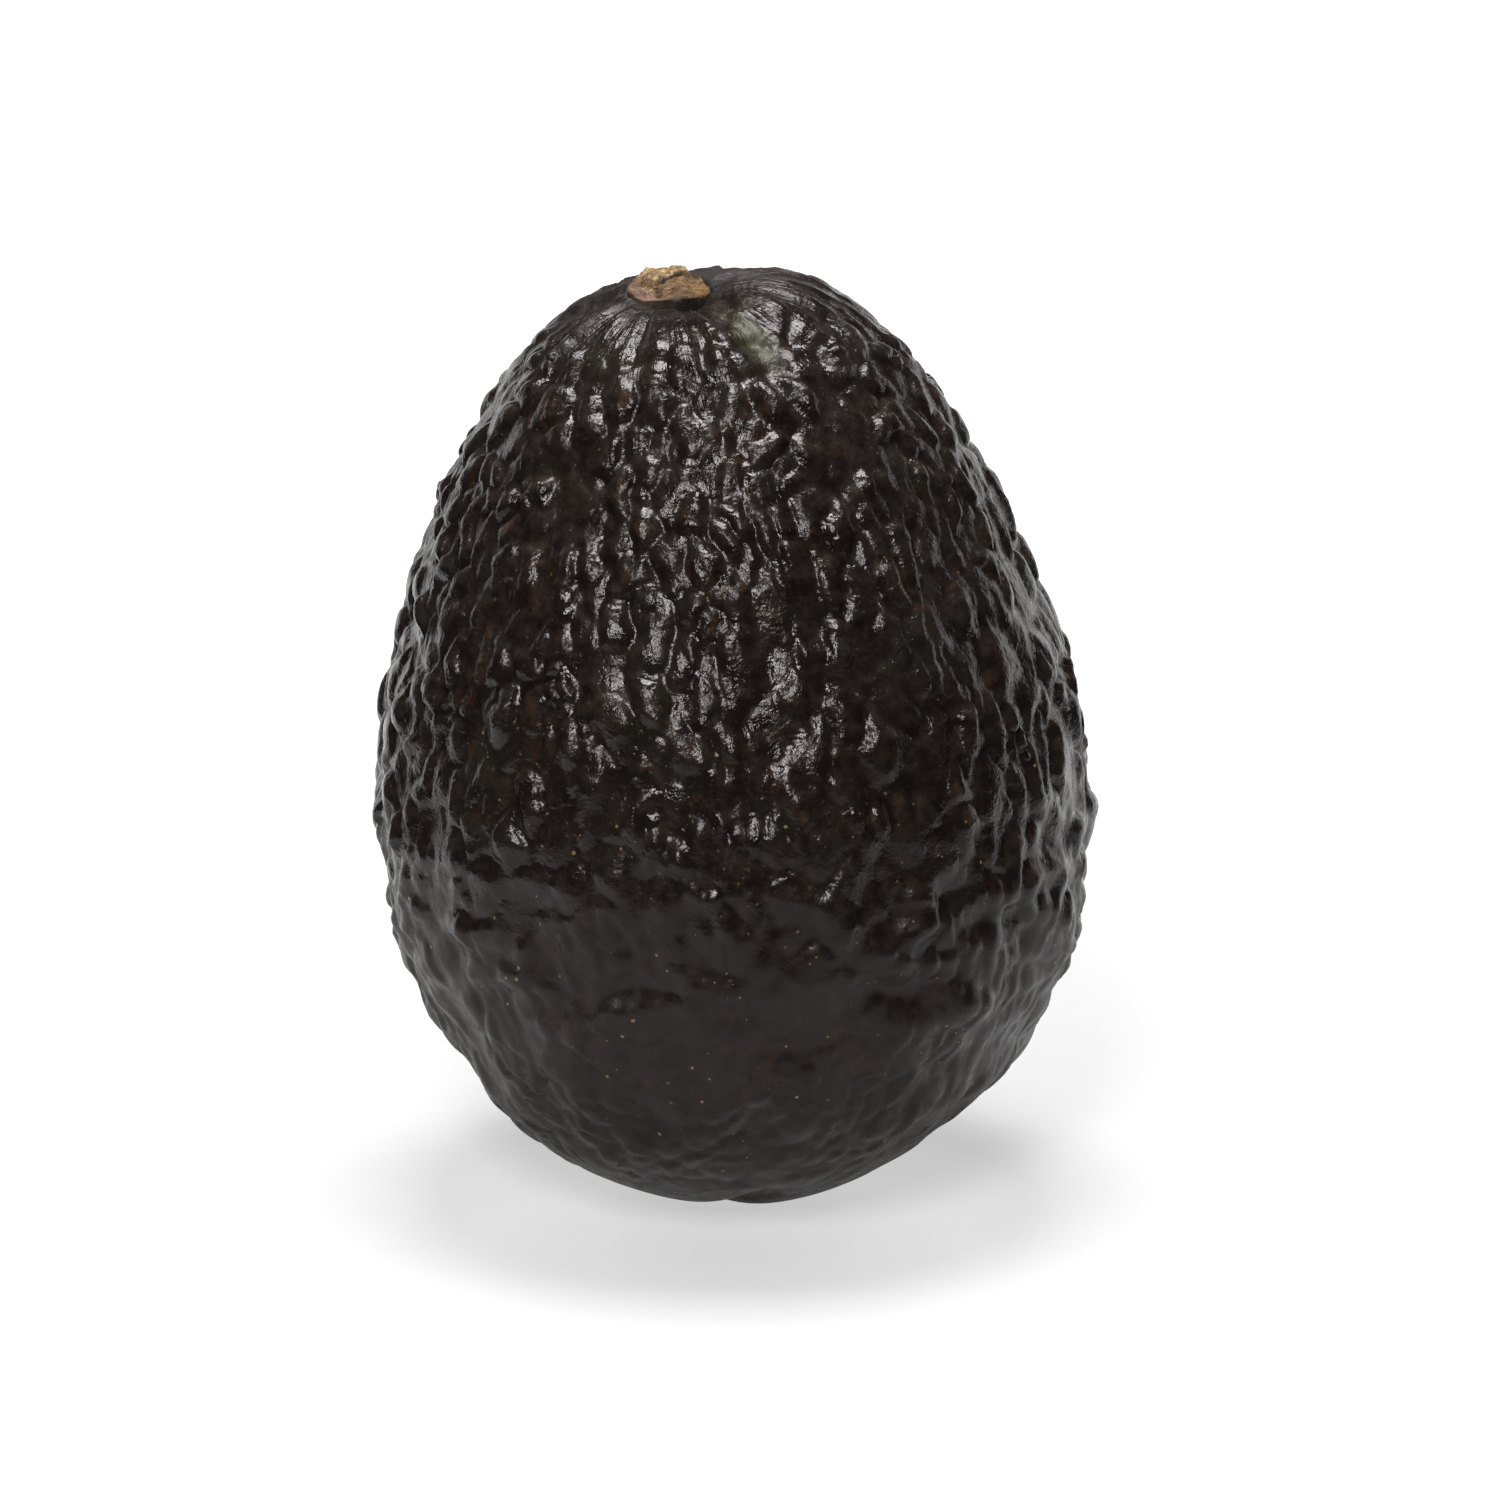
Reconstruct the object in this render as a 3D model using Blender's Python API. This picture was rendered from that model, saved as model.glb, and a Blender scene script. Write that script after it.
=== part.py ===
"""A ripe avocado that stands on its blunt end, with the dry stem button in its socket.

The origin is the middle of the flat spot that the fruit stands on. +Z runs up to the stem, +X is the
fruit's right side and -Y its front. Run it with: blender --background --python part.py
"""

import math
import random

import bmesh
import bpy
import numpy as np
from mathutils import Matrix, Vector, noise
from mathutils.kdtree import KDTree

MM = 0.001

# The fruit's size, before the flat spot takes its lowest sliver off
FRUIT_WIDTH = 69.6 * MM
FRUIT_DEPTH = 68.0 * MM
FRUIT_LENGTH = 92.9 * MM
FLAT_CUT = 0.9 * MM

# Outline terms in powers of the height u, which runs from -1 at the blunt end to 1 at the stem end.
# The half width is a share of the fruit's own, times the circle's sqrt(1 - u * u).
HALF_WIDTH_TERMS = (0.987, -0.175, -0.072, 0.169, 0.14)
SIDEWAYS_LEAN_TERMS = (0.0, -1.5 * MM, -0.9 * MM, 0.0, 0.0, 1.1 * MM, 0.5 * MM)
BACKWARD_LEAN_TERMS = (0.0, -0.3 * MM, 0.6 * MM, 0.9 * MM)

# The stem sits a little left of the top, in a shallow recess, with a higher shoulder on its right and
# a furrow down the front right
STEM_TILT = math.radians(9.3)
STEM_HEADING = math.radians(208.0)
RECESS_DEPTH = 1.0 * MM
RECESS_SPREAD = math.radians(9.0)
SHOULDER_RISE = 1.1 * MM
SHOULDER_SPREAD = math.radians(12.0)
SHOULDER_ANGLE = math.radians(22.0)
SHOULDER_HEADING = math.radians(8.0)
FURROW_DEPTH = 0.7 * MM
FURROW_HEADING = math.radians(-52.0)
FURROW_HALF_WIDTH = 1.7 * MM
FURROW_START = 4.0 * MM
FURROW_END = 15.0 * MM

# The skin's pebbles, a little larger than life: each is a low dome with a groove all round it
PEBBLE_COUNT = 630
PEBBLE_SEED = 11
PEBBLE_EVENING_ROUNDS = 3
PEBBLE_HEIGHT = 0.95 * MM
PEBBLE_HEIGHT_SPREAD = (0.6, 1.1)
PEBBLE_ROUNDNESS = 1.5
PEBBLE_SINK = 0.4 * MM
BARE_ROUND_STEM = math.radians(7.0)
FULL_ROUND_STEM = math.radians(12.0)

# The pebbles fade out at the flat spot and are lower on the fruit's blunt half. Heights are shares of
# the fruit's length.
BARE_BELOW = 0.04
FADED_BELOW = 0.16
LOWER_STRENGTH = 0.7
LOWER_HALF = (0.1, 0.6)

# Low swells under the pebbles
SWELL_HEIGHT = 0.45 * MM
SWELL_SIZE = 17.0 * MM

# The stem button: a short woody stub in a socket, with its cracked face on top. Its side profile is
# given as shares of its radius and of its height over the skin.
BUTTON_RADIUS = 3.95 * MM
BUTTON_DEPTH = 1.5 * MM
BUTTON_RISE = 1.8 * MM
BUTTON_LEAN = math.radians(3.0)
BUTTON_FOOT_ROUNDING = ((0.8, 0.0), (0.97, 0.45 * MM), (1.0, 1.1 * MM))
BUTTON_SIDE = ((1.0, 0.35), (0.97, 0.75), (0.92, 1.0))
BUTTON_WAVES = ((2, 0.045, 0.5), (3, 0.035, -1.1), (7, 0.02, 2.0))
BUTTON_STEPS = 40
BUTTON_RINGS = (0.9, 0.72, 0.42)
CHIP_HEIGHT = 0.22 * MM
CHIP_SIZE = 1.6 * MM
CRACK_DEPTH = 0.35 * MM
CRACK_HALF_WIDTH = 0.55 * MM
CRACK_BEND = 0.6 * MM
CRACK_BEND_LENGTH = 1.3 * MM
CRACK_SLOPE = 0.25
SIDE_CRACK_SHARE = 0.7
LEFT_CRACK_AT = -1.9 * MM
LEFT_CRACK_SLOPE = -0.5
RIGHT_CRACK_AT = 2.2 * MM
RIGHT_CRACK_SLOPE = 0.35
SOCKET_GAP = 0.35 * MM
SOCKET_CLEAR_ABOVE = 6.0 * MM

SKIN_COLOUR = (0.021, 0.015, 0.012, 1.0)
SKIN_ROUGHNESS = 0.3
BUTTON_COLOUR = (0.27, 0.16, 0.075, 1.0)
BUTTON_ROUGHNESS = 0.9


def clear_scene():
    for obj in list(bpy.data.objects):
        bpy.data.objects.remove(obj, do_unlink=True)


def collection(name):
    made = bpy.data.collections.new(name)
    bpy.context.scene.collection.children.link(made)
    return made


def material(name, colour, roughness):
    made = bpy.data.materials.new(name)
    made.use_nodes = True
    shader = made.node_tree.nodes["Principled BSDF"]
    shader.inputs["Base Color"].default_value = colour
    shader.inputs["Roughness"].default_value = roughness
    shader.inputs["Metallic"].default_value = 0.0
    return made


def new_object(name, bm, where, finish=None):
    mesh = bpy.data.meshes.new(name)
    bm.to_mesh(mesh)
    bm.free()
    obj = bpy.data.objects.new(name, mesh)
    where.objects.link(obj)
    if finish:
        mesh.materials.append(finish)
        mesh.shade_smooth()
    return obj


def unit(vectors):
    return vectors / np.linalg.norm(vectors, axis=-1, keepdims=True)


def powers(terms, u):
    return sum(term * u**n for n, term in enumerate(terms))


def smooth_step(x, start, end):
    t = np.clip((x - start) / (end - start), 0.0, 1.0)
    return t * t * (3.0 - 2.0 * t)


def compass(angle, heading):
    """Unit vectors at an angle from +Z, towards a heading round it."""
    return np.stack(
        [np.sin(angle) * np.cos(heading), np.sin(angle) * np.sin(heading), np.cos(angle)], -1
    )


def lean_to_stem(directions):
    """Turns directions whose pole is the stem into ones whose pole is the fruit's top."""
    share = ((1.0 + directions[..., 2:]) / 2.0) ** 2
    angle = STEM_TILT * share
    axis = np.array([-math.sin(STEM_HEADING), math.cos(STEM_HEADING), 0.0])
    across = np.cross(axis, directions)
    along = (directions @ axis)[..., None] * axis
    return (
        directions * np.cos(angle) + across * np.sin(angle) + along * (1.0 - np.cos(angle))
    )


def smooth_body(directions):
    """Points of the fruit without its pebbles, for unit directions whose pole is the stem."""
    d = unit(lean_to_stem(directions))
    u = d[..., 2]
    girth = powers(HALF_WIDTH_TERMS, u)
    x = d[..., 0] * girth * FRUIT_WIDTH / 2 + powers(SIDEWAYS_LEAN_TERMS, u)
    y = d[..., 1] * girth * FRUIT_DEPTH / 2 + powers(BACKWARD_LEAN_TERMS, u)
    z = (u + 1.0) * FRUIT_LENGTH / 2
    from_stem = np.arccos(np.clip(directions[..., 2], -1.0, 1.0))
    z = z - RECESS_DEPTH * np.exp(-((from_stem / RECESS_SPREAD) ** 2))
    shoulder = compass(SHOULDER_ANGLE, SHOULDER_HEADING)
    off_shoulder = np.arccos(np.clip(directions @ shoulder, -1.0, 1.0))
    z = z + SHOULDER_RISE * np.exp(-((off_shoulder / SHOULDER_SPREAD) ** 2))
    return np.stack([x, y, z], -1)


def outward(directions):
    """Unit vectors that stand straight out from the smooth body, for directions from the stem's pole."""
    step = 1e-3
    heading = np.arctan2(directions[..., 1], directions[..., 0])
    aside = np.stack([-np.sin(heading), np.cos(heading), np.zeros_like(heading)], -1)
    down = np.cross(aside, directions)

    def slope(along):
        ahead = smooth_body(unit(directions + step * along))
        behind = smooth_body(unit(directions - step * along))
        return ahead - behind

    return unit(np.cross(slope(down), slope(aside)))


def hull_of(directions):
    """The triangles that join each pebble's centre to its neighbours all over the unit sphere."""
    bm = bmesh.new()
    for direction in directions:
        bm.verts.new(direction)
    bmesh.ops.convex_hull(bm, input=bm.verts)
    bmesh.ops.triangulate(bm, faces=bm.faces)
    bm.faces.index_update()
    bm.normal_update()
    return bm


def vertex_directions(bm):
    return unit(np.array([vert.co for vert in bm.verts]))


def pebble_outlines(centres):
    """One face for each pebble on the unit sphere, with a corner wherever three pebbles meet."""
    hull = hull_of(centres)
    bm = bmesh.new()
    corners = {face.index: bm.verts.new(face.normal) for face in hull.faces}
    for middle in hull.verts:
        level = Vector((0, 0, 1)).cross(middle.co).normalized()
        upright = middle.co.cross(level)
        around = sorted(
            middle.link_faces,
            key=lambda face: math.atan2(face.normal.dot(upright), face.normal.dot(level)),
        )
        bm.faces.new([corners[face.index] for face in around])
    hull.free()
    return bm


def pebble_centres(rng):
    """Random directions that are evened out, so that the pebbles form no rows."""
    heights = [rng.uniform(-1.0, 1.0) for _ in range(PEBBLE_COUNT)]
    headings = [rng.uniform(-math.pi, math.pi) for _ in range(PEBBLE_COUNT)]
    directions = compass(np.arccos(heights), np.array(headings))
    for _ in range(PEBBLE_EVENING_ROUNDS):
        bm = hull_of(directions)
        bmesh.ops.smooth_vert(
            bm, verts=bm.verts, factor=1.0, use_axis_x=True, use_axis_y=True, use_axis_z=True
        )
        directions = vertex_directions(bm)
        bm.free()
    return directions


def pebble_relief(directions, centres, rng):
    """Height over the groove round each pebble: a dome on its nearest centre."""
    tree = KDTree(len(centres))
    for index, centre in enumerate(centres):
        tree.insert(centre, index)
    tree.balance()
    tops = [PEBBLE_HEIGHT * rng.uniform(*PEBBLE_HEIGHT_SPREAD) for _ in centres]
    relief = np.zeros(len(directions))
    for index, direction in enumerate(directions):
        (_, nearest, near), (_, _, far) = tree.find_n(direction, 2)
        relief[index] = tops[nearest] * (1.0 - (near / far) ** PEBBLE_ROUNDNESS)
    return relief


def stem_furrow(points, stem):
    """Depth of the furrow that runs from the stem down the front right shoulder."""
    away = points - stem
    along = away[:, 0] * math.cos(FURROW_HEADING) + away[:, 1] * math.sin(FURROW_HEADING)
    across = away[:, 1] * math.cos(FURROW_HEADING) - away[:, 0] * math.sin(FURROW_HEADING)
    start = smooth_step(along, 0.0, FURROW_START)
    end = 1.0 - smooth_step(along, FURROW_START, FURROW_END)
    return FURROW_DEPTH * start * end * np.exp(-((across / FURROW_HALF_WIDTH) ** 2))


def skin_points(directions, centres, rng):
    """Points of the pebbled skin for unit directions whose pole is the stem."""
    points = smooth_body(directions)
    out = outward(directions)
    swell = np.array([noise.noise(Vector(p / SWELL_SIZE)) for p in points])
    height_share = points[:, 2] / FRUIT_LENGTH
    from_stem = np.arccos(np.clip(directions[:, 2], -1.0, 1.0))
    strength = (
        (LOWER_STRENGTH + (1.0 - LOWER_STRENGTH) * smooth_step(height_share, *LOWER_HALF))
        * smooth_step(height_share, BARE_BELOW, FADED_BELOW)
        * smooth_step(from_stem, BARE_ROUND_STEM, FULL_ROUND_STEM)
    )
    height = (
        (pebble_relief(directions, centres, rng) - PEBBLE_SINK) * strength
        + SWELL_HEIGHT * swell
        - stem_furrow(points, stem_point())
    )
    return points + out * height[:, None]


def stem_point():
    return smooth_body(np.array([0.0, 0.0, 1.0]))


def button_stretch(heading):
    """The woody stub isn't quite round: its radius at a heading, as a share of its own."""
    return 1.0 + sum(share * math.cos(turns * heading + start) for turns, share, start in BUTTON_WAVES)


def button_profile(grow, rise):
    """Radius and height of the stub's side, from its foot to its cut face."""
    radius = BUTTON_RADIUS + grow
    foot = -BUTTON_DEPTH - grow
    rounding = [(radius * share, foot + height) for share, height in BUTTON_FOOT_ROUNDING]
    return rounding + [(radius * share, rise * height) for share, height in BUTTON_SIDE]


def turned_stub(profile, rings=()):
    """A solid turned round +Z from its side profile, with rings across its cut face."""
    bm = bmesh.new()
    rim, top = profile[-1]
    line = [(0.0, profile[0][1]), *profile, *((rim * ring, top) for ring in rings), (0.0, top)]
    verts = [bm.verts.new((reach, 0.0, height)) for reach, height in line]
    edges = [bm.edges.new(pair) for pair in zip(verts, verts[1:])]
    bmesh.ops.spin(
        bm, geom=verts + edges, axis=(0, 0, 1), cent=(0, 0, 0),
        steps=BUTTON_STEPS, angle=2.0 * math.pi, use_merge=True,
    )
    bmesh.ops.remove_doubles(bm, verts=bm.verts, dist=1e-6)
    bmesh.ops.recalc_face_normals(bm, faces=bm.faces)
    for vert in bm.verts:
        stretch = button_stretch(math.atan2(vert.co.y, vert.co.x))
        vert.co.x *= stretch
        vert.co.y *= stretch
    return bm


def crack_depth(x, y):
    """Depth of the cracks in the stub's cut face: a long bent one, and a short one on each side of it."""
    bend = CRACK_BEND * math.sin(x / CRACK_BEND_LENGTH)
    off_long = y - CRACK_SLOPE * x - bend
    if off_long < 0.0:
        off_side = x - LEFT_CRACK_AT - LEFT_CRACK_SLOPE * y
    else:
        off_side = x - RIGHT_CRACK_AT - RIGHT_CRACK_SLOPE * y
    depth = math.exp(-((off_long / CRACK_HALF_WIDTH) ** 2))
    depth += SIDE_CRACK_SHARE * math.exp(-((off_side / CRACK_HALF_WIDTH) ** 2))
    return CRACK_DEPTH * min(depth, 1.0)


def make_button(where, finish):
    profile = button_profile(0.0, BUTTON_RISE)
    bm = turned_stub(profile, BUTTON_RINGS)
    shoulder = profile[-2][1]
    for vert in bm.verts:
        if vert.co.z > shoulder:
            chip = CHIP_HEIGHT * noise.noise(Vector(vert.co) / CHIP_SIZE)
            vert.co.z += chip - crack_depth(vert.co.x, vert.co.y)
    return new_object("stem_button", bm, where, finish)


def make_fruit(where, finish):
    rng = random.Random(PEBBLE_SEED)
    centres = pebble_centres(rng)
    bm = pebble_outlines(centres)
    tops = bmesh.ops.poke(bm, faces=bm.faces)["verts"]
    slopes = {edge for top in tops for edge in top.link_edges}
    bmesh.ops.subdivide_edges(bm, edges=list(slopes), cuts=1)
    bmesh.ops.triangulate(bm, faces=bm.faces)
    points = skin_points(vertex_directions(bm), centres, rng)
    for vert, point in zip(bm.verts, points):
        vert.co = point
    bmesh.ops.bisect_plane(
        bm, geom=bm.verts[:] + bm.edges[:] + bm.faces[:], dist=1e-6,
        plane_co=(0, 0, FLAT_CUT), plane_no=(0, 0, -1), clear_outer=True,
    )
    rim = [edge for edge in bm.edges if edge.is_boundary]
    bmesh.ops.holes_fill(bm, edges=rim)
    bmesh.ops.translate(bm, verts=bm.verts, vec=(0, 0, -FLAT_CUT))
    bmesh.ops.recalc_face_normals(bm, faces=bm.faces)
    return new_object("fruit", bm, where, finish)


def stem_placement():
    """Where the stub stands: upright on the skin but for a slight lean, once the flat spot is at z = 0."""
    out = outward(np.array([[0.0, 0.0, 1.0]]))[0]
    lean = Vector((out[0], out[1], 1.0 / math.tan(BUTTON_LEAN))).normalized()
    turn = Vector((0, 0, 1)).rotation_difference(lean).to_matrix().to_4x4()
    spot = Vector(stem_point()) - Vector((0, 0, FLAT_CUT))
    return Matrix.Translation(spot) @ turn


def cut_socket(fruit, where, placement):
    bm = turned_stub(button_profile(SOCKET_GAP, SOCKET_CLEAR_ABOVE))
    socket = new_object("socket_cutter", bm, where)
    socket.matrix_world = placement
    socket.hide_render = True
    socket.display_type = "WIRE"
    cut = fruit.modifiers.new("socket", "BOOLEAN")
    cut.operation = "DIFFERENCE"
    cut.object = socket


def main():
    clear_scene()
    parts = collection("avocado")
    cutters = collection("cutters")
    skin = material("pebbled_skin", SKIN_COLOUR, SKIN_ROUGHNESS)
    wood = material("dry_stem", BUTTON_COLOUR, BUTTON_ROUGHNESS)
    fruit = make_fruit(parts, skin)
    placement = stem_placement()
    button = make_button(parts, wood)
    button.matrix_world = placement
    cut_socket(fruit, cutters, placement)


main()
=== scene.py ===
"""The looks of a ripe avocado that stands on its blunt end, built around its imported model.

The fruit is a fine mesh of the same body as the model's, with the same pebbles and smaller ones among
them, wrinkles that run down from the stem, and a socket for the dry stem button. The button is a turned
stub with a cracked face. Both get materials made of nodes only. Sizes are in metres, +Z is up, and the
fruit's front looks along -Y.
"""

from __future__ import annotations

import logging
import math
import random
from dataclasses import dataclass, field
from enum import Enum
from typing import Any, Sequence, Union

import bmesh
import bpy
import numpy as np
from mathutils import Matrix, Vector, noise
from mathutils.kdtree import KDTree

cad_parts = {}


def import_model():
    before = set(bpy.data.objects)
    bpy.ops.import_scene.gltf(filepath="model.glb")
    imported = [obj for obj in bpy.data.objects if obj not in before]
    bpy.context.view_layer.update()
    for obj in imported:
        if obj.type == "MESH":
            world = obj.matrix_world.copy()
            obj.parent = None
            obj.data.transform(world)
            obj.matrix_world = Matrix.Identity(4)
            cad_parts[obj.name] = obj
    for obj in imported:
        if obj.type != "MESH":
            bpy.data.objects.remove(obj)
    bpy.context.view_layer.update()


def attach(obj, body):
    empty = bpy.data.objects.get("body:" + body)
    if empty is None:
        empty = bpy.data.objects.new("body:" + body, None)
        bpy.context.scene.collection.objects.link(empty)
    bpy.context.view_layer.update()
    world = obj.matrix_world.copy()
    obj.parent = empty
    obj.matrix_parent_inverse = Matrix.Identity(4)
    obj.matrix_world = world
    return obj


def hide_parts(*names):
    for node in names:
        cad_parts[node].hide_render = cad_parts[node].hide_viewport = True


LOG = logging.getLogger("avocado")
MM = 0.001
SWAY_SEED = 3
Colour = tuple[float, float, float, float]
Span = tuple[float, float]
Operand = Union["Socket", float]
WHITE: Colour = (1.0, 1.0, 1.0, 1.0)
BLACK: Colour = (0.0, 0.0, 0.0, 1.0)


class Slot(Enum):
    """Names for the skin's and the stem's materials."""

    SKIN = "skin"
    STEM = "stem"


class Layer(Enum):
    """Values that a mesh carries from its modelling to its material."""

    MERIDIANS = "meridians"
    PEBBLE_TOP = "pebble_top"
    PEBBLE_DRAW = "pebble_draw"
    GREEN = "green"
    DULL = "dull"
    # Painted shade in the stub's cracks and in the hollow by its shelf.
    CRACK = "crack"
    RISE = "rise"
    LIP = "lip"
    # Painted shade low on the stub's front right side.
    DAMP = "damp"
    SLAB = "slab"
    GOLDEN = "golden"


class Pattern(Enum):
    """How far each noise pattern is moved, so that those that meet on a piece differ."""

    SWELLS = 0.0
    SWAY = 0.0
    CHIPS = 0.0
    COLUMNS = 2.0
    FINE_SWAY = 3.0
    SPLINTERS = 4.0
    RIDGES = 5.0
    RIBS = 6.0
    TEARS = 6.0
    DENTS = 7.0
    GROOVES = 8.0
    THREADS = 9.0
    WEAR = 12.0
    SLAB_EDGE = 15.0
    LINE_SWAY = 21.0
    FOLDS = 31.0


def unit(vectors: np.ndarray) -> np.ndarray:
    """Scales vectors to a length of one.

    Args:
        vectors: Vectors along the last axis.

    Returns:
        The unit vectors.
    """
    return vectors / np.linalg.norm(vectors, axis=-1, keepdims=True)


def powers(terms: Sequence[float], u: np.ndarray) -> np.ndarray:
    """Adds up terms in powers of u, from the power of zero upwards.

    Args:
        terms: The factor of each power.
        u: Where to work the sum out.

    Returns:
        The sum at each u.
    """
    return sum(term * u**n for n, term in enumerate(terms))


def smooth_step(x: np.ndarray, start: float, end: float) -> np.ndarray:
    """Rises smoothly from 0 at start to 1 at end.

    Args:
        x: Where to work it out.
        start: Where it leaves 0.
        end: Where it reaches 1.

    Returns:
        A share from 0 to 1 at each x.
    """
    t = np.clip((x - start) / (end - start), 0.0, 1.0)
    return t * t * (3.0 - 2.0 * t)


def compass(angle: Any, heading: Any) -> np.ndarray:
    """Gives unit vectors at an angle from +Z, towards a heading round it.

    Args:
        angle: Angles from +Z, in radians.
        heading: Headings from +X, in radians.

    Returns:
        The unit vectors.
    """
    return np.stack(
        [np.sin(angle) * np.cos(heading), np.sin(angle) * np.sin(heading), np.cos(angle)], -1
    )


def noise_at(points: np.ndarray, pattern: Pattern) -> np.ndarray:
    """Reads smooth noise, about -1 to 1, at many points.

    Args:
        points: Where to read it, in units of the noise's size.
        pattern: The pattern to read.

    Returns:
        The noise at each point.
    """
    return np.array([noise.noise(point) for point in (points + pattern.value).tolist()])


def sway_at(points: np.ndarray, pattern: Pattern) -> np.ndarray:
    """Reads a smooth random vector at many points.

    Args:
        points: Where to read it, in units of the noise's size.
        pattern: The pattern to read.

    Returns:
        One vector for each point.
    """
    # Blender seeds the vector noise from the clock unless it is told otherwise.
    noise.seed_set(SWAY_SEED)
    return np.array([noise.noise_vector(point) for point in (points + pattern.value).tolist()])


def long_noise_at(
    points: np.ndarray, shortening: float, width: float, pattern: Pattern
) -> np.ndarray:
    """Reads smooth noise that is drawn out along Z.

    Args:
        points: Where to read it, in metres.
        shortening: The factor on Z, which is below 1.
        width: The noise's size across Z.
        pattern: The pattern to read.

    Returns:
        The noise at each point.
    """
    return noise_at(points * (1.0, 1.0, shortening) / width, pattern)


class Socket:
    """A shader output on which Python's operators add Math nodes."""

    def __init__(self, board: NodeBoard, output: bpy.types.NodeSocket) -> None:
        """Wraps one output of a node.

        Args:
            board: Where new nodes go.
            output: The output that this stands for.
        """
        self.board = board
        self.output = output

    def maths(self, operation: str, *operands: Operand) -> Socket:
        """Adds one Math node.

        Args:
            operation: The Math node's operation.
            *operands: Its inputs, in order.

        Returns:
            The node's result.
        """
        return self.board.add("ShaderNodeMath", {"operation": operation}, dict(enumerate(operands)))

    def __add__(self, other: Operand) -> Socket:
        """Adds a number or a socket."""
        return self.maths("ADD", self, other)

    __radd__ = __add__

    def __sub__(self, other: Operand) -> Socket:
        """Takes a number or a socket away."""
        return self.maths("SUBTRACT", self, other)

    def __rsub__(self, other: Operand) -> Socket:
        """Takes this away from a number or a socket."""
        return self.maths("SUBTRACT", other, self)

    def __mul__(self, other: Operand) -> Socket:
        """Multiplies by a number or a socket."""
        return self.maths("MULTIPLY", self, other)

    __rmul__ = __mul__

    def __truediv__(self, other: Operand) -> Socket:
        """Divides by a number or a socket."""
        return self.maths("DIVIDE", self, other)

    def at_least(self, floor: float) -> Socket:
        """Raises what lies under a floor to it."""
        return self.maths("MAXIMUM", self, floor)

    def share(self, start: float, end: float) -> Socket:
        """Rises smoothly from 0 where this equals start to 1 where it equals end.

        Args:
            start: The value that gives 0.
            end: The value that gives 1.

        Returns:
            A share from 0 to 1.
        """
        settings = {"interpolation_type": "SMOOTHSTEP"}
        sockets = {"Value": self, "From Min": start, "From Max": end}
        return self.board.add("ShaderNodeMapRange", settings, sockets)


class NodeBoard:
    """Adds nodes to the tree of one material, light or world."""

    def __init__(self, tree: bpy.types.NodeTree) -> None:
        """Clears a tree and keeps it.

        Args:
            tree: The node tree.
        """
        self.tree = tree
        tree.nodes.clear()

    def add(
        self, kind: str, settings: dict | None = None, sockets: dict | None = None, output: Any = 0
    ) -> Socket:
        """Adds one node: its settings first, then the values or links of its sockets.

        Args:
            kind: The node's type.
            settings: Its properties, and under "stops" a ramp's positions and colours.
            sockets: For each input, by name or number, a value or a Socket.
            output: The output to give back, by name or number.

        Returns:
            The output that was asked for, or its first one.
        """
        node = self.tree.nodes.new(kind)
        for name, value in (settings or {}).items():
            if name == "stops":
                self.set_stops(node.color_ramp.elements, value)
            else:
                setattr(node, name, value)
        for name, value in (sockets or {}).items():
            if isinstance(value, Socket):
                self.tree.links.new(value.output, node.inputs[name])
            else:
                node.inputs[name].default_value = value
        return Socket(self, node.outputs[output]) if len(node.outputs) else Socket(self, None)

    @staticmethod
    def set_stops(elements: Any, stops: Sequence[tuple[float, Colour]]) -> None:
        """Gives a colour ramp its stops.

        Args:
            elements: The ramp's elements, of which a new ramp has two.
            stops: A position and a colour for each stop.
        """
        while len(elements) < len(stops):
            elements.new(1.0)
        for element, (position, colour) in zip(elements, stops):
            element.position = position
            element.color = colour

    def place(self, kind: str = "Object") -> Socket:
        """Reads the place on the piece, or another of the texture coordinates."""
        return self.add("ShaderNodeTexCoord", None, None, kind)

    def axis(self, vector: Socket, name: str) -> Socket:
        """Reads a vector along one axis, by its name."""
        return self.add("ShaderNodeSeparateXYZ", None, {0: vector}, name)

    def camera_ray(self) -> Socket:
        """Is 1 where the camera sees the surface itself, and 0 in reflections and shadows."""
        return self.add("ShaderNodeLightPath", None, None, "Is Camera Ray")

    def bump(self, height: Socket) -> Socket:
        """Turns a height in metres into a bumped normal."""
        return self.add("ShaderNodeBump", None, {"Strength": 1.0, "Distance": 1.0, "Height": height})

    def mix(self, factor: Operand, first: Any, second: Any) -> Socket:
        """Mixes two colours.

        Args:
            factor: The second one's share.
            first: A colour or a Socket.
            second: A colour or a Socket.

        Returns:
            The mixed colour.
        """
        return self.add("ShaderNodeMix", {"data_type": "RGBA"}, {0: factor, 6: first, 7: second}, 2)

    def scaled(self, vector: Socket, scale: Sequence[float]) -> Socket:
        """Stretches a vector, so that a pattern that reads it shrinks by as much.

        Args:
            vector: The vector to stretch.
            scale: The factor along each axis.

        Returns:
            The stretched vector.
        """
        return self.add("ShaderNodeVectorMath", {"operation": "MULTIPLY"}, {0: vector, 1: scale})

    def noise(self, vector: Socket, size: float, detail: float = 2.0, rough: float = 0.5) -> Socket:
        """Reads fractal noise, about 0.25 to 0.75.

        Args:
            vector: Where to read it, in metres.
            size: The size of its largest features, in metres.
            detail: How many finer layers it has.
            rough: How strong each finer layer is.

        Returns:
            The noise.
        """
        sockets = {"Vector": vector, "Scale": 1.0 / size, "Detail": detail, "Roughness": rough}
        return self.add("ShaderNodeTexNoise", None, sockets)

    def layer(self, which: Layer, output: str = "Fac") -> Socket:
        """Reads one of the mesh's own layers.

        Args:
            which: The layer.
            output: "Fac" for a number or "Vector" for a vector.

        Returns:
            Its value.
        """
        return self.add("ShaderNodeAttribute", {"attribute_name": which.value}, None, output)


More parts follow.
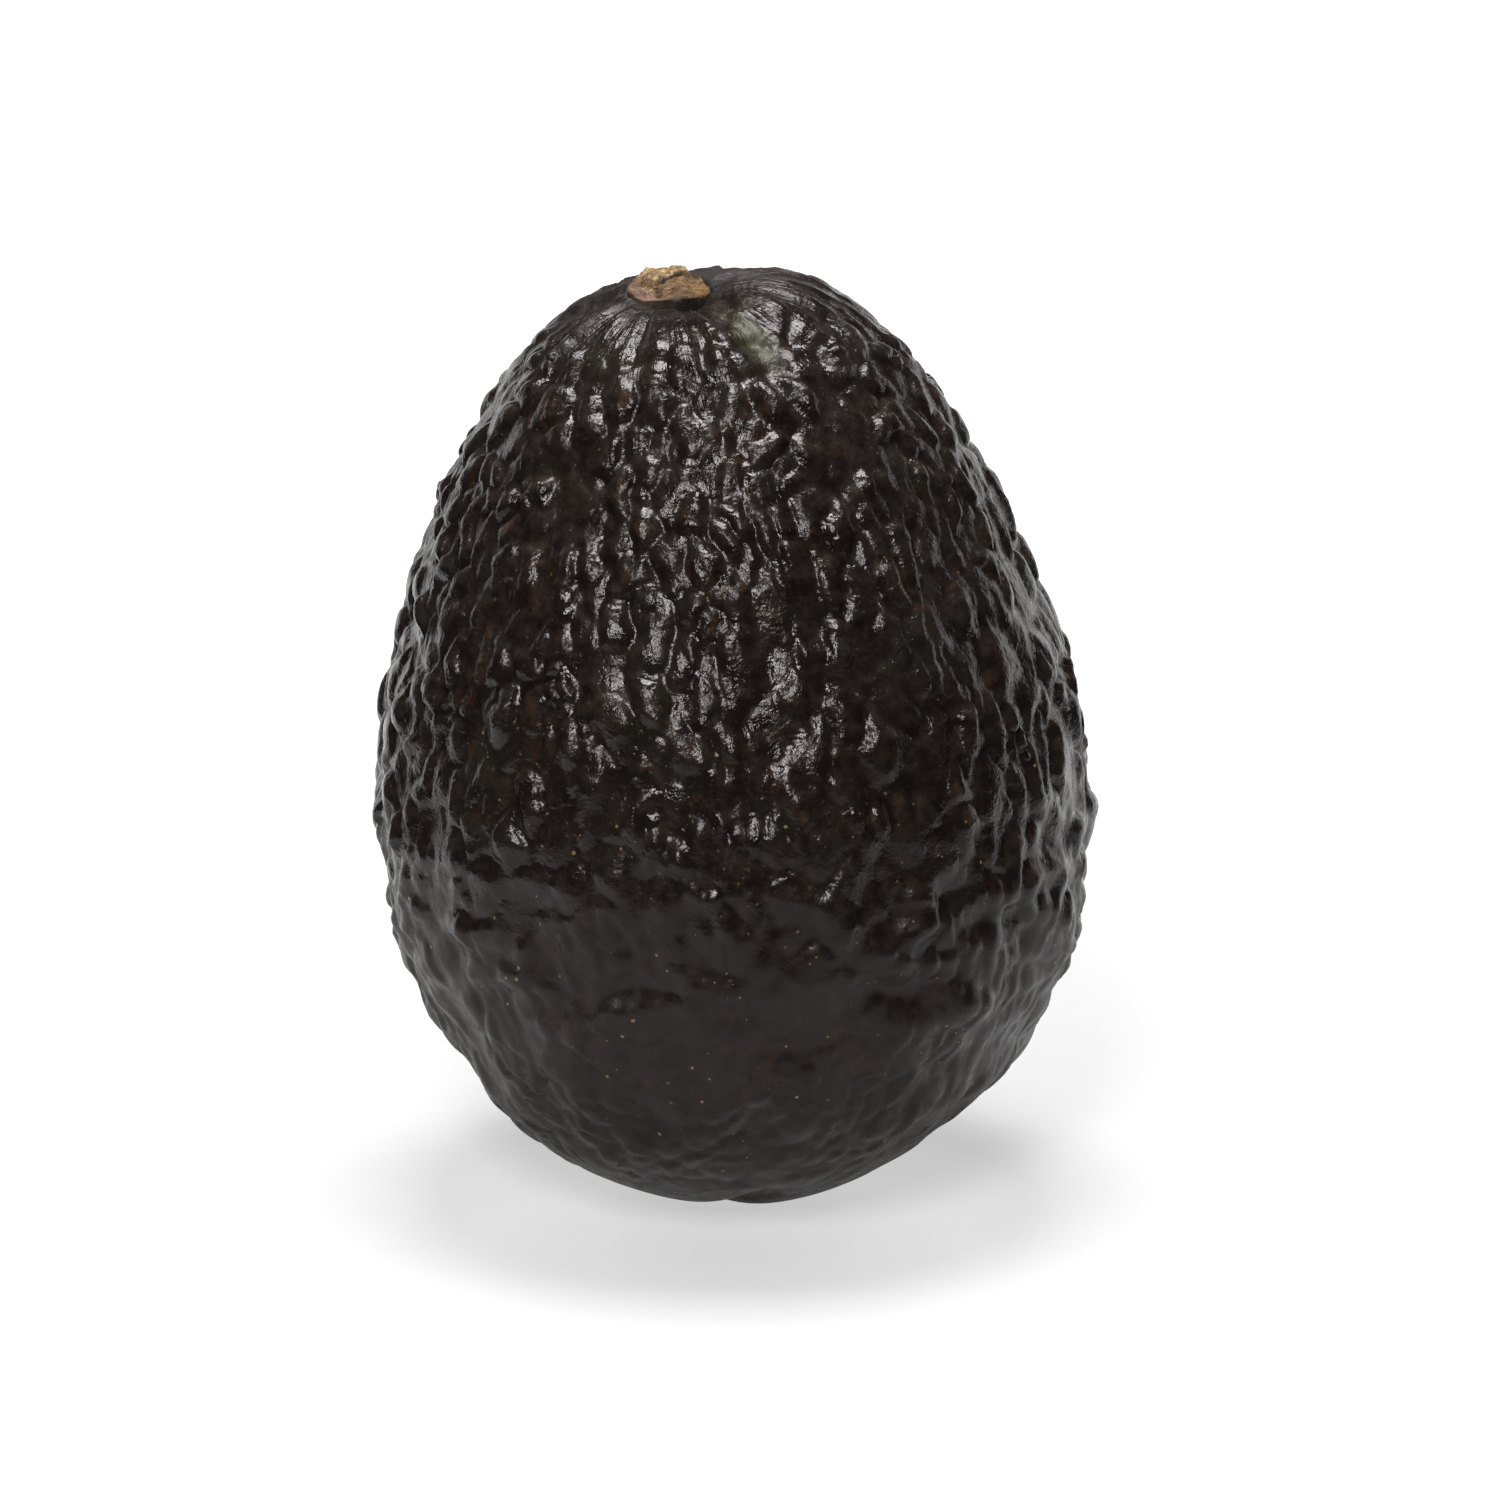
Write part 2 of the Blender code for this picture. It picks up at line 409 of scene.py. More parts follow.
class Finish:
    """A material that is made of nodes."""

    name: str

    def make(self) -> bpy.types.Material:
        """Makes the material.

        Returns:
            The new material.
        """
        material = bpy.data.materials.new(self.name)
        material.use_nodes = True
        board = NodeBoard(material.node_tree)
        shader = self.shader(board)
        board.add("ShaderNodeOutputMaterial", None, {"Surface": shader})
        return material

    def shader(self, board: NodeBoard) -> Socket:
        """Builds the surface.

        Args:
            board: Where its nodes go.

        Returns:
            The surface's output.
        """
        raise NotImplementedError


@dataclass(frozen=True)
class SkinFinish(Finish):
    """Near-black waxy skin with brown pebble tips, corky dots and a green streak by the stem."""

    name: str = "avocado_skin"
    deep: Colour = (0.0108, 0.0077, 0.0070, 1.0)
    brown: Colour = (0.0215, 0.0153, 0.0132, 1.0)
    olive: Colour = (0.0205, 0.0182, 0.0125, 1.0)
    moss: Colour = (0.028, 0.025, 0.012, 1.0)
    green: Colour = (0.120, 0.118, 0.088, 1.0)
    rust: Colour = (0.042, 0.020, 0.010, 1.0)
    tip: Colour = (0.050, 0.028, 0.017, 1.0)
    cork: Colour = (0.27, 0.18, 0.07, 1.0)
    brown_from: Span = (0.35, 0.68)
    olive_from: Span = (0.5, 0.68)
    olive_strength: float = 0.45
    blotch_size: float = 9.0 * MM
    mottle_size: float = 1.6 * MM
    rust_size: float = 6.0 * MM
    rust_fleck_size: float = 1.0 * MM
    rust_clouds: Span = (0.52, 0.66)
    rust_flecks: Span = (0.5, 0.65)
    rust_strength: float = 0.6
    tip_from: Span = (0.84, 1.0)
    tip_draws: Span = (0.80, 0.86)
    tip_mottle: Span = (0.3, 0.6)
    tip_strength: float = 0.75
    strand_width: float = 0.9 * MM
    strand_shortening: float = 0.2
    strand_contrast: float = 1.4
    green_contrast: float = 0.5
    moss_from: Span = (0.15, 0.55)
    green_from: Span = (0.55, 1.20)
    dot_spacing: float = 1.1 * MM
    dot_radius: float = 0.20 * MM
    dot_draws: Span = (0.46, 0.84)
    dot_edge: float = 0.4
    least_dot: float = 0.02
    dots_above: float = 0.25
    dots_from: Span = (45.0 * MM, 70.0 * MM)
    dots_between: float = 0.4
    dot_blotches: Span = (0.42, 0.58)
    crumple_size: float = 1.1 * MM
    crumple_bump: float = 0.20 * MM
    crumple_below: float = 0.15
    streak_width: float = 1.1 * MM
    streak_length: float = 6.0 * MM
    streak_bump: float = 0.13 * MM
    streak_reach: Span = (14.0 * MM, 32.0 * MM)
    grain_size: float = 0.42 * MM
    grain_bump: float = 0.078 * MM
    grain_bump_between: float = 0.045 * MM
    grain_bump_below: float = 0.015 * MM
    grain_tops: Span = (0.3, 0.8)
    smoother_from: Span = (62.0 * MM, 84.0 * MM)
    gloss: Span = (0.13, 0.30)
    gloss_mottle: Span = (0.3, 0.7)
    duller_below: float = 0.12
    duller_by_stem: float = 0.5
    ior: float = 1.40
    sheen: Colour = (1.0, 0.945, 0.94, 1.0)

    def shader(self, board: NodeBoard) -> Socket:
        """Builds the skin: see the base class."""
        place = board.place()
        meridians = board.layer(Layer.MERIDIANS, "Vector")
        blotch = board.noise(place, self.blotch_size, 3.0)
        mottle = board.noise(place, self.mottle_size, 3.0, 0.6)
        colour = board.mix(mottle.share(*self.brown_from), self.deep, self.brown)
        colour = board.mix(blotch.share(*self.olive_from) * self.olive_strength, colour, self.olive)
        colour = board.mix(self.clouds(board, place) * self.rust_strength, colour, self.rust)
        tips = self.tips(board) * mottle.share(*self.tip_mottle) * self.tip_strength
        colour = board.mix(tips, colour, self.tip)
        along = board.scaled(meridians, (1.0, 1.0, self.strand_shortening))
        strands = (board.noise(along, self.strand_width, 3.0, 0.6) - 0.5) * self.strand_contrast
        green = board.layer(Layer.GREEN) + strands + (mottle - 0.5) * self.green_contrast
        colour = board.mix(green.share(*self.moss_from), colour, self.moss)
        colour = board.mix(green.share(*self.green_from), colour, self.green)
        from_stem = board.axis(meridians, "Z")
        often = from_stem.share(*self.dots_from) * (1.0 - self.dots_above) + self.dots_above
        in_blotches = blotch.share(*self.dot_blotches) * (1.0 - self.dots_between)
        dots = self.dots(board, place) * (often * (self.dots_between + in_blotches))
        colour = board.mix(dots, colour, self.cork)
        smooth, dull = self.gloss
        gloss = mottle.share(*self.gloss_mottle) * (dull - smooth) + smooth
        gloss = gloss + from_stem.share(*self.smoother_from) * self.duller_below
        gloss = gloss + board.layer(Layer.DULL) * self.duller_by_stem
        sockets = {
            "Base Color": colour,
            "Roughness": gloss,
            "IOR": self.ior,
            "Specular Tint": self.sheen,
            "Normal": self.normal(board, place, meridians),
        }
        return board.add("ShaderNodeBsdfPrincipled", None, sockets)

    def tips(self, board: NodeBoard) -> Socket:
        """Picks out the tops of some pebbles, as a mask."""
        top = board.layer(Layer.PEBBLE_TOP).share(*self.tip_from)
        return top * board.layer(Layer.PEBBLE_DRAW).share(*self.tip_draws)

    def clouds(self, board: NodeBoard, place: Socket) -> Socket:
        """Scatters faint rusty clouds made of flecks.

        Args:
            board: Where the nodes go.
            place: Where the pattern is read.

        Returns:
            A mask from 0 to 1.
        """
        cloud = board.noise(place, self.rust_size, 1.0)
        flecks = board.noise(place, self.rust_fleck_size, 3.0, 0.65)
        return cloud.share(*self.rust_clouds) * flecks.share(*self.rust_flecks)

    def dots(self, board: NodeBoard, place: Socket) -> Socket:
        """Scatters small corky dots of several sizes.

        Args:
            board: Where the nodes go.
            place: Where the pattern is read.

        Returns:
            A mask from 0 to 1.
        """
        sockets = {"Vector": place, "Scale": 1.0 / self.dot_spacing}
        kind = "ShaderNodeTexVoronoi"
        near = board.add(kind, {"feature": "F1"}, sockets, "Distance")
        draw = board.add(kind, {"feature": "F1"}, sockets, "Color")
        least, most = self.dot_draws
        size = (draw - least) * (self.dot_radius / self.dot_spacing / (most - least))
        return (1.0 - near / size.at_least(self.least_dot)).share(0.0, self.dot_edge)

    def normal(self, board: NodeBoard, place: Socket, meridians: Socket) -> Socket:
        """Adds the relief that is too fine for the mesh.

        The skin is crumpled all over, grainy on the pebbles' tops and streaked by the stem.

        Args:
            board: Where the nodes go.
            place: Where the grain is read.
            meridians: Where the streaks are read, so that they run down from the stem.

        Returns:
            The bumped normal.
        """
        along = self.streak_width / self.streak_length
        streaks = board.noise(board.scaled(meridians, (1.0, 1.0, along)), self.streak_width, 2.0)
        from_stem = board.axis(meridians, "Z")
        near_stem = 1.0 - from_stem.share(*self.streak_reach)
        above = 1.0 - from_stem.share(*self.smoother_from)
        crumple = board.noise(place, self.crumple_size, 2.0, 0.5)
        grain = board.noise(place, self.grain_size, 3.0, 0.6)
        tops = board.layer(Layer.PEBBLE_TOP).share(*self.grain_tops)
        rough = tops * (self.grain_bump - self.grain_bump_between)
        rough = (rough + self.grain_bump_between - self.grain_bump_below) * above
        height = grain * (rough + self.grain_bump_below)
        crumpled = above * (1.0 - self.crumple_below) + self.crumple_below
        height = height + crumple * crumpled * self.crumple_bump
        height = height + streaks * near_stem * self.streak_bump
        return board.bump(height)


@dataclass(frozen=True)
class StemFinish(Finish):
    """Dry, torn wood: tan and golden on its face, with painted shade in its cracks, at its foot and low
    on its front right side.
    """

    name: str = "avocado_stem"
    bark: Colour = (0.12, 0.065, 0.024, 1.0)
    gold: Colour = (0.25, 0.125, 0.030, 1.0)
    tan: Colour = (0.32, 0.195, 0.078, 1.0)
    pale: Colour = (0.56, 0.41, 0.23, 1.0)
    brown: Colour = (0.060, 0.027, 0.011, 1.0)
    # The colour of the painted shade: in the cracks, at the foot and low on the front right side.
    dark: Colour = (0.012, 0.007, 0.005, 1.0)
    rose: Colour = (0.27, 0.165, 0.125, 1.0)
    patch_size: float = 1.7 * MM
    fleck_size: float = 0.8 * MM
    fibre_size: float = 0.30 * MM
    fibre_stretch: tuple[float, float, float] = (0.5, 2.6, 1.3)
    fibre_bump: float = 0.16 * MM
    tan_from: Span = (0.45, 0.60)
    tan_strength: float = 0.7
    gold_strength: float = 0.85
    slab_from: Span = (0.44, 0.6)
    slab_tan: float = 0.5
    pale_from: Span = (0.48, 0.6)
    pale_strength: float = 0.85
    fibre_from: Span = (0.46, 0.58)
    fibre_strength: float = 0.9
    fibre_loss_on_slab: float = 0.35
    rose_strength: float = 0.9
    # The dark at the foot is painted shade where the stub meets the skin. It is ragged, and there is
    # less of it under the lip.
    foot_shade_from: Span = (0.02, 0.35)
    foot_shade_raggedness: float = 0.7
    foot_shade_loss_on_lip: float = 0.6
    # The dark in the cracks is painted shade.
    crack_shade_from: Span = (0.2, 0.9)
    crack_shade_strength: float = 0.9
    roughness: float = 0.75

    def shader(self, board: NodeBoard) -> Socket:
        """Builds the wood: see the base class."""
        place = board.place()
        slab = board.layer(Layer.SLAB)
        lip = board.layer(Layer.LIP)
        patches = board.noise(place, self.patch_size, 2.0)
        flecks = board.noise(place, self.fleck_size, 4.0, 0.65)
        fibres = board.noise(board.scaled(place, self.fibre_stretch), self.fibre_size, 3.0, 0.6)
        colour = board.mix(patches.share(*self.tan_from) * self.tan_strength, self.bark, self.tan)
        colour = board.mix(board.layer(Layer.GOLDEN) * self.gold_strength, colour, self.gold)
        slab_tan = patches.share(*self.slab_from) * (1.0 - self.slab_tan) + self.slab_tan
        colour = board.mix(slab * slab_tan, colour, self.tan)
        pale = slab * flecks.share(*self.pale_from) * self.pale_strength
        colour = board.mix(pale, colour, self.pale)
        fibrous = self.fibre_strength - slab * self.fibre_loss_on_slab
        colour = board.mix(fibres.share(*self.fibre_from) * fibrous, colour, self.brown)
        colour = board.mix(lip * self.rose_strength, colour, self.rose)
        # Painted shade at the foot, where the stub meets the skin's collar.
        rise = board.layer(Layer.RISE) + (flecks - 0.5) * self.foot_shade_raggedness
        foot = (1.0 - rise.share(*self.foot_shade_from)) * (1.0 - lip * self.foot_shade_loss_on_lip)
        colour = board.mix(foot, colour, self.dark)
        # Painted shade low on the stub's front right side.
        colour = board.mix(board.layer(Layer.DAMP), colour, self.dark)
        # Painted shade in the cracks and in the hollow by the shelf.
        cracks = board.layer(Layer.CRACK).share(*self.crack_shade_from) * self.crack_shade_strength
        colour = board.mix(cracks, colour, self.dark)
        normal = board.bump((flecks + fibres) * self.fibre_bump)
        sockets = {"Base Color": colour, "Roughness": self.roughness, "Normal": normal}
        return board.add("ShaderNodeBsdfPrincipled", None, sockets)


def add_object(name: str, data: bpy.types.ID) -> bpy.types.Object:
    """Puts a new object in the scene.

    Args:
        name: The object's name.
        data: Its mesh, light or camera.

    Returns:
        The new object.
    """
    thing = bpy.data.objects.new(name, data)
    bpy.context.scene.collection.objects.link(thing)
    return thing


def set_layer(mesh: bpy.types.Mesh, which: Layer, values: np.ndarray) -> None:
    """Stores a number or a vector for each point of a mesh.

    Args:
        mesh: The mesh.
        which: The layer.
        values: One row for each point.
    """
    vectors = values.ndim == 2
    kind = "FLOAT_VECTOR" if vectors else "FLOAT"
    layer = mesh.attributes.new(which.value, kind, "POINT")
    layer.data.foreach_set("vector" if vectors else "value", values.astype(np.float32).ravel())


def make_piece(
    name: str,
    bm: bmesh.types.BMesh,
    layers: dict[Layer, np.ndarray],
    finish: Finish,
    node: str,
) -> None:
    """Turns a finished bmesh into a piece that replaces a node of the model.

    Args:
        name: The piece's name.
        bm: Its mesh, which is freed.
        layers: For each layer, one value or vector for each point.
        finish: What it is made of.
        node: The node that it stands for.
    """
    bmesh.ops.recalc_face_normals(bm, faces=bm.faces)
    mesh = bpy.data.meshes.new(name)
    bm.to_mesh(mesh)
    bm.free()
    mesh.materials.append(finish.make())
    mesh.shade_smooth()
    for which, values in layers.items():
        set_layer(mesh, which, values)
    piece = add_object(name, mesh)
    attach(piece, "root")
    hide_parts(node)
    LOG.info("%s: %d faces on root, for node %s", name, len(mesh.polygons), node)


@dataclass
class Pebbles:
    """Low domes scattered evenly but without rows over the unit sphere."""

    count: int
    seed: int
    evening_rounds: int = 3
    height_spread: Span = (0.6, 1.1)
    roundness: float = 1.5
    tops: np.ndarray = field(init=False)
    draws: np.ndarray = field(init=False)
    tree: KDTree = field(init=False)

    def lay(self, directions: np.ndarray) -> np.ndarray:
        """Takes directions to the surface that the domes are spread on, here the unit sphere.

        Args:
            directions: Unit vectors.

        Returns:
            One place for each.
        """
        return directions

    def settle(self, places: np.ndarray) -> np.ndarray:
        """Puts places that have drifted off the surface back on it.

        Args:
            places: Points near the surface.

        Returns:
            The points on it.
        """
        return unit(places)

    def __post_init__(self) -> None:
        """Draws the domes: their places, then their heights, then a free number for each."""
        rng = random.Random(self.seed)
        centres = self.spread(rng)
        self.tops = np.array([rng.uniform(*self.height_spread) for _ in centres])
        self.draws = np.array([rng.random() for _ in centres])
        self.tree = KDTree(len(centres))
        for index, centre in enumerate(centres):
            self.tree.insert(centre, index)
        self.tree.balance()

    def spread(self, rng: random.Random) -> np.ndarray:
        """Draws random directions and evens them out.

        Args:
            rng: The random numbers.

        Returns:
            The place of each dome.
        """
        heights = [rng.uniform(-1.0, 1.0) for _ in range(self.count)]
        headings = [rng.uniform(-math.pi, math.pi) for _ in range(self.count)]
        places = self.lay(compass(np.arccos(heights), np.array(headings)))
        for _ in range(self.evening_rounds):
            bm = bmesh.new()
            for place in places:
                bm.verts.new(place)
            bmesh.ops.convex_hull(bm, input=bm.verts)
            bmesh.ops.triangulate(bm, faces=bm.faces)
            bmesh.ops.smooth_vert(
                bm, verts=bm.verts, factor=1.0, use_axis_x=True, use_axis_y=True, use_axis_z=True
            )
            places = self.settle(np.array([vert.co for vert in bm.verts]))
            bm.free()
        return places

    def relief(self, directions: np.ndarray) -> tuple[np.ndarray, np.ndarray, np.ndarray]:
        """Works out the domes' height at each direction.

        Args:
            directions: Unit vectors, one in a row.

        Returns:
            The height as a share of a full dome's, the share of its own top's height, and the free
            number of the dome that each direction is on.
        """
        found = [self.tree.find_n(place, 2) for place in self.lay(directions).tolist()]
        nearest = np.array([near[1] for near, _ in found])
        ratio = np.array([near[2] / far[2] for near, far in found])
        share = 1.0 - ratio**self.roundness
        return self.tops[nearest] * share, share, self.draws[nearest]


@dataclass
class LongPebbles(Pebbles):
    """Domes that are longer from stem to foot than they are wide, and crowd in towards the stem."""

    shortening: float = 0.70
    crowding: float = 0.75
    swirl: float = 0.12

    def lay(self, directions: np.ndarray) -> np.ndarray:
        """Takes directions to a barrel on which the long domes are round: see the base class."""
        angle = np.arccos(np.clip(directions[..., 2], -1.0, 1.0))
        heading = np.arctan2(directions[..., 1], directions[..., 0]) + self.swirl * angle
        return self.on_barrel(angle, heading)

    def settle(self, places: np.ndarray) -> np.ndarray:
        """Puts places back on the barrel: see the base class."""
        angle = math.pi / 2 - places[:, 2] / self.shortening
        heading = np.arctan2(places[:, 1], places[:, 0])
        return self.on_barrel(angle.clip(0.01, math.pi - 0.01), heading)

    def on_barrel(self, angle: np.ndarray, heading: np.ndarray) -> np.ndarray:
        """Gives the barrel's points.

        Args:
            angle: Angles from the stem.
            heading: Headings round the stem.

        Returns:
            One point for each.
        """
        reach = np.sin(angle).clip(0.0) ** self.crowding
        rise = self.shortening * (math.pi / 2 - angle)
        return np.stack([reach * np.cos(heading), reach * np.sin(heading), rise], -1)


@dataclass(frozen=True)
class Bulge:
    """A local bulge that shows in the fruit's outline."""

    place: tuple[float, float, float]
    rise: float
    spread: float


@dataclass
class Fruit:
    """The fruit's body and skin. The body's sizes are the model's own."""

    width: float = 69.6 * MM
    depth: float = 68.0 * MM
    length: float = 92.9 * MM
    flat_cut: float = 0.9 * MM
    half_width_terms: tuple[float, ...] = (0.987, -0.175, -0.072, 0.169, 0.14)
    sideways_lean: tuple[float, ...] = (0.0, -1.5, -0.9, 0.0, 0.0, 1.1, 0.5)
    backward_lean: tuple[float, ...] = (0.0, -0.3, 0.6, 0.9)
    stem_tilt: float = math.radians(9.3)
    stem_heading: float = math.radians(208.0)
    recess_depth: float = 1.0 * MM
    recess_spread: float = math.radians(9.0)
    shoulder_rise: float = 1.1 * MM
    shoulder_spread: float = math.radians(12.0)
    shoulder_angle: float = math.radians(22.0)
    shoulder_heading: float = math.radians(8.0)
    furrow_depth: float = 1.1 * MM
    furrow_heading: float = math.radians(-52.0)
    furrow_half_width: float = 1.9 * MM
    furrow_start: Span = (1.0 * MM, 5.0 * MM)
    furrow_end: Span = (14.0 * MM, 20.0 * MM)
    moss_start: Span = (3.5 * MM, 6.0 * MM)
    moss_strength: float = 0.4
    green_start: Span = (8.5 * MM, 12.0 * MM)
    green_end: Span = (14.5 * MM, 18.5 * MM)
    green_half_width: float = 1.4 * MM
    green_aside: float = 0.5 * MM

    model_pebbles: Pebbles = field(default_factory=lambda: Pebbles(count=630, seed=11))
    model_pebble_height: float = 0.5 * MM
    small_pebbles: Pebbles = field(
        default_factory=lambda: LongPebbles(
            count=1300, seed=23, evening_rounds=2, height_spread=(0.1, 1.25), roundness=2.0
        )
    )
    small_pebble_height: float = 0.8 * MM
    sink: float = 0.45 * MM
    model_sway: float = 0.5
    sway: float = 0.05
    sway_size: float = 7.0 * MM
    fine_sway: float = 0.028
    fine_sway_size: float = 2.4 * MM
    bare_round_stem: Span = (math.radians(6.5), math.radians(9.0))
    round_from_stem: Span = (math.radians(12.0), math.radians(26.0))
    bare_at_foot: Span = (0.02, 0.12)
    lower_strength: float = 0.4
    lower_half: Span = (0.24, 0.52)
    swell_height: float = 0.45 * MM
    swell_size: float = 17.0 * MM
    dent_height: float = 0.45 * MM
    dent_height_below: float = 1.25 * MM
    dents_above: Span = (0.05, 0.2)
    dent_size: float = 7.5 * MM
    fold_height: float = 0.85 * MM
    fold_width: float = 6.0 * MM
    fold_rise: float = 2.8 * MM
    fold_start: Span = (0.15, 0.30)
    fold_end: Span = (0.38, 0.55)
    dull_by_stem: float = 0.5
    dull_round_stem: Span = (math.radians(7.0), math.radians(13.0))
    dull_behind_stem: Span = (math.radians(12.0), math.radians(30.0))
    dull_on_green: float = 0.6
    hump_calm: float = 0.75
    hump_spread: float = math.radians(17.0)
    bulges: tuple[Bulge, ...] = (
        Bulge((34.0 * MM, 0.0, 58.0 * MM), rise=0.9 * MM, spread=9.0 * MM),
        Bulge((34.0 * MM, 0.0, 38.0 * MM), rise=0.45 * MM, spread=8.0 * MM),
        Bulge((27.0 * MM, 0.0, 16.0 * MM), rise=1.5 * MM, spread=7.0 * MM),
    )
    column_height: float = 0.35 * MM
    column_height_by_stem: float = 0.6 * MM
    column_reach: Span = (math.radians(14.0), math.radians(38.0))
    column_width: float = 7.0 * MM
    column_shortening: float = 0.3
    rib_height: float = 0.75 * MM
    rib_width: float = 4.4 * MM
    rib_shortening: float = 0.15
    ridge_height: float = 0.14 * MM
    ridge_spacing: float = 4.6 * MM
    ridge_shortening: float = 0.32
    ridge_sharpness: float = 3.6
    thread_height: float = 0.02 * MM
    thread_height_by_stem: float = 0.035 * MM
    thread_height_below: float = 0.05 * MM
    thread_spacing: float = 2.4 * MM
    thread_shortening: float = 0.22
    thread_sharpness: float = 3.0
    threads_by_stem: Span = (math.radians(12.0), math.radians(55.0))
    threads_below: Span = (math.radians(85.0), math.radians(115.0))
    line_sway: float = 1.4 * MM
    line_sway_size: float = 5.0 * MM

    cuts: int = 127
    girth_radius: float = 35.0 * MM
    meridian_reach: float = 42.0 * MM

    def lean_to_stem(self, directions: np.ndarray) -> np.ndarray:
        """Turns directions whose pole is the stem into ones whose pole is the fruit's top.

        Args:
            directions: Unit vectors, the stem's being +Z.

        Returns:
            Vectors of the same length, the top's being +Z.
        """
        angle = self.stem_tilt * ((1.0 + directions[..., 2:]) / 2.0) ** 2
        axis = np.array([-math.sin(self.stem_heading), math.cos(self.stem_heading), 0.0])
        across = np.cross(axis, directions)
        along = (directions @ axis)[..., None] * axis
        return directions * np.cos(angle) + across * np.sin(angle) + along * (1.0 - np.cos(angle))

    def smooth_body(self, directions: np.ndarray) -> np.ndarray:
        """Gives the fruit's points without its pebbles.

        Args:
            directions: Unit vectors, the stem's being +Z.

        Returns:
            One point for each direction, with the flat spot not yet cut.
        """
        d = unit(self.lean_to_stem(directions))
        u = d[..., 2]
        girth = powers(self.half_width_terms, u)
        x = d[..., 0] * girth * self.width / 2 + powers(self.sideways_lean, u) * MM
        y = d[..., 1] * girth * self.depth / 2 + powers(self.backward_lean, u) * MM
        z = (u + 1.0) * self.length / 2
        from_stem = np.arccos(np.clip(directions[..., 2], -1.0, 1.0))
        z = z - self.recess_depth * np.exp(-((from_stem / self.recess_spread) ** 2))
        shoulder = compass(self.shoulder_angle, self.shoulder_heading)
        off_shoulder = np.arccos(np.clip(directions @ shoulder, -1.0, 1.0))
        z = z + self.shoulder_rise * np.exp(-((off_shoulder / self.shoulder_spread) ** 2))
        return np.stack([x, y, z], -1)

    def outward(self, directions: np.ndarray) -> np.ndarray:
        """Gives the directions that stand straight out from the smooth body.

        Args:
            directions: Unit vectors, the stem's being +Z.

        Returns:
            One unit vector for each.
        """
        step = 1e-3
        heading = np.arctan2(directions[..., 1], directions[..., 0])
        aside = np.stack([-np.sin(heading), np.cos(heading), np.zeros_like(heading)], -1)
        down = np.cross(aside, directions)
        slopes = [
            self.smooth_body(unit(directions + step * way))
            - self.smooth_body(unit(directions - step * way))
            for way in (down, aside)
        ]
        return unit(np.cross(*slopes))

    def stem_point(self) -> np.ndarray:
        """Gives the middle of the stem's place on the smooth body."""
        return self.smooth_body(np.array([0.0, 0.0, 1.0]))

    def stem_placement(self, lean: float) -> Matrix:
        """Gives the stem button's place, once the flat spot is at z = 0.

        Args:
            lean: How far the button leans the way that the skin faces there.

        Returns:
            The placement of a button that is made at the origin.
        """
        out = self.outward(np.array([[0.0, 0.0, 1.0]]))[0]
        up = Vector((out[0], out[1], 1.0 / math.tan(lean))).normalized()
        turn = Vector((0, 0, 1)).rotation_difference(up).to_matrix().to_4x4()
        spot = Vector(self.stem_point()) - Vector((0, 0, self.flat_cut))
        return Matrix.Translation(spot) @ turn

    def furrow(self, points: np.ndarray) -> tuple[np.ndarray, np.ndarray]:
        """Finds the furrow that runs from the stem down the front right shoulder.

        Args:
            points: Points of the smooth body.

        Returns:
            Its share of its full depth at each point, and how green the skin is there.
        """
        away = points - self.stem_point()
        cos, sin = math.cos(self.furrow_heading), math.sin(self.furrow_heading)
        along = away[:, 0] * cos + away[:, 1] * sin
        across = away[:, 1] * cos - away[:, 0] * sin
        depth = np.exp(-((across / self.furrow_half_width) ** 2))
        depth *= smooth_step(along, *self.furrow_start) * (1.0 - smooth_step(along, *self.furrow_end))
        green = np.exp(-(((across - self.green_aside) / self.green_half_width) ** 2))
        moss = self.moss_strength * smooth_step(along, *self.moss_start)
        green *= moss + (1.0 - self.moss_strength) * smooth_step(along, *self.green_start)
        return depth, green * (1.0 - smooth_step(along, *self.green_end))

    def calm(self, directions: np.ndarray) -> np.ndarray:
        """Works out how much of its ribs and pebbles the skin keeps, which is little on the hump.

        Args:
            directions: Unit vectors, the stem's being +Z.

        Returns:
            A share from 0 to 1 for each.
        """
        hump = compass(self.shoulder_angle, self.shoulder_heading)
        off_hump = np.arccos(np.clip(directions @ hump, -1.0, 1.0))
        return 1.0 - self.hump_calm * np.exp(-((off_hump / self.hump_spread) ** 2))

    def dullness(
        self, directions: np.ndarray, from_stem: np.ndarray, green: np.ndarray
    ) -> np.ndarray:
        """Works out how dull the skin is: round the stem, further out behind it, and where it's green.

        Args:
            directions: Unit vectors, the stem's being +Z.
            from_stem: Each one's angle from the stem.
            green: How green the skin is at each.

        Returns:
            A share from 0 to 1 for each.
        """
        behind = 0.5 + 0.5 * np.sin(np.arctan2(directions[:, 1], directions[:, 0]))
        near = self.dull_by_stem * (1.0 - smooth_step(from_stem, *self.dull_round_stem))
        far = behind * (1.0 - smooth_step(from_stem, *self.dull_behind_stem))
        return np.maximum(np.maximum(near, far), self.dull_on_green * green)

    def bulge(self, points: np.ndarray) -> np.ndarray:
        """Adds up the few local bulges that show in the outline.

        Args:
            points: Points of the smooth body.

        Returns:
            Their height.
        """
        height = np.zeros(len(points))
        for bulge in self.bulges:
            off = np.linalg.norm(points - np.array(bulge.place), axis=1) / bulge.spread
            height += bulge.rise * np.exp(-(off**2))
        return height

    def meridians(self, directions: np.ndarray) -> np.ndarray:
        """Lays the skin on a cylinder, with the stem at one end, so that patterns can run down it.

        Args:
            directions: Unit vectors, the stem's being +Z.

        Returns:
            A point on the cylinder for each, in metres.
        """
        heading = np.arctan2(directions[:, 1], directions[:, 0])
        angle = np.arccos(np.clip(directions[:, 2], -1.0, 1.0))
        round_it = self.girth_radius * np.stack([np.cos(heading), np.sin(heading)], -1)
        return np.concatenate([round_it, self.meridian_reach * angle[:, None]], 1)

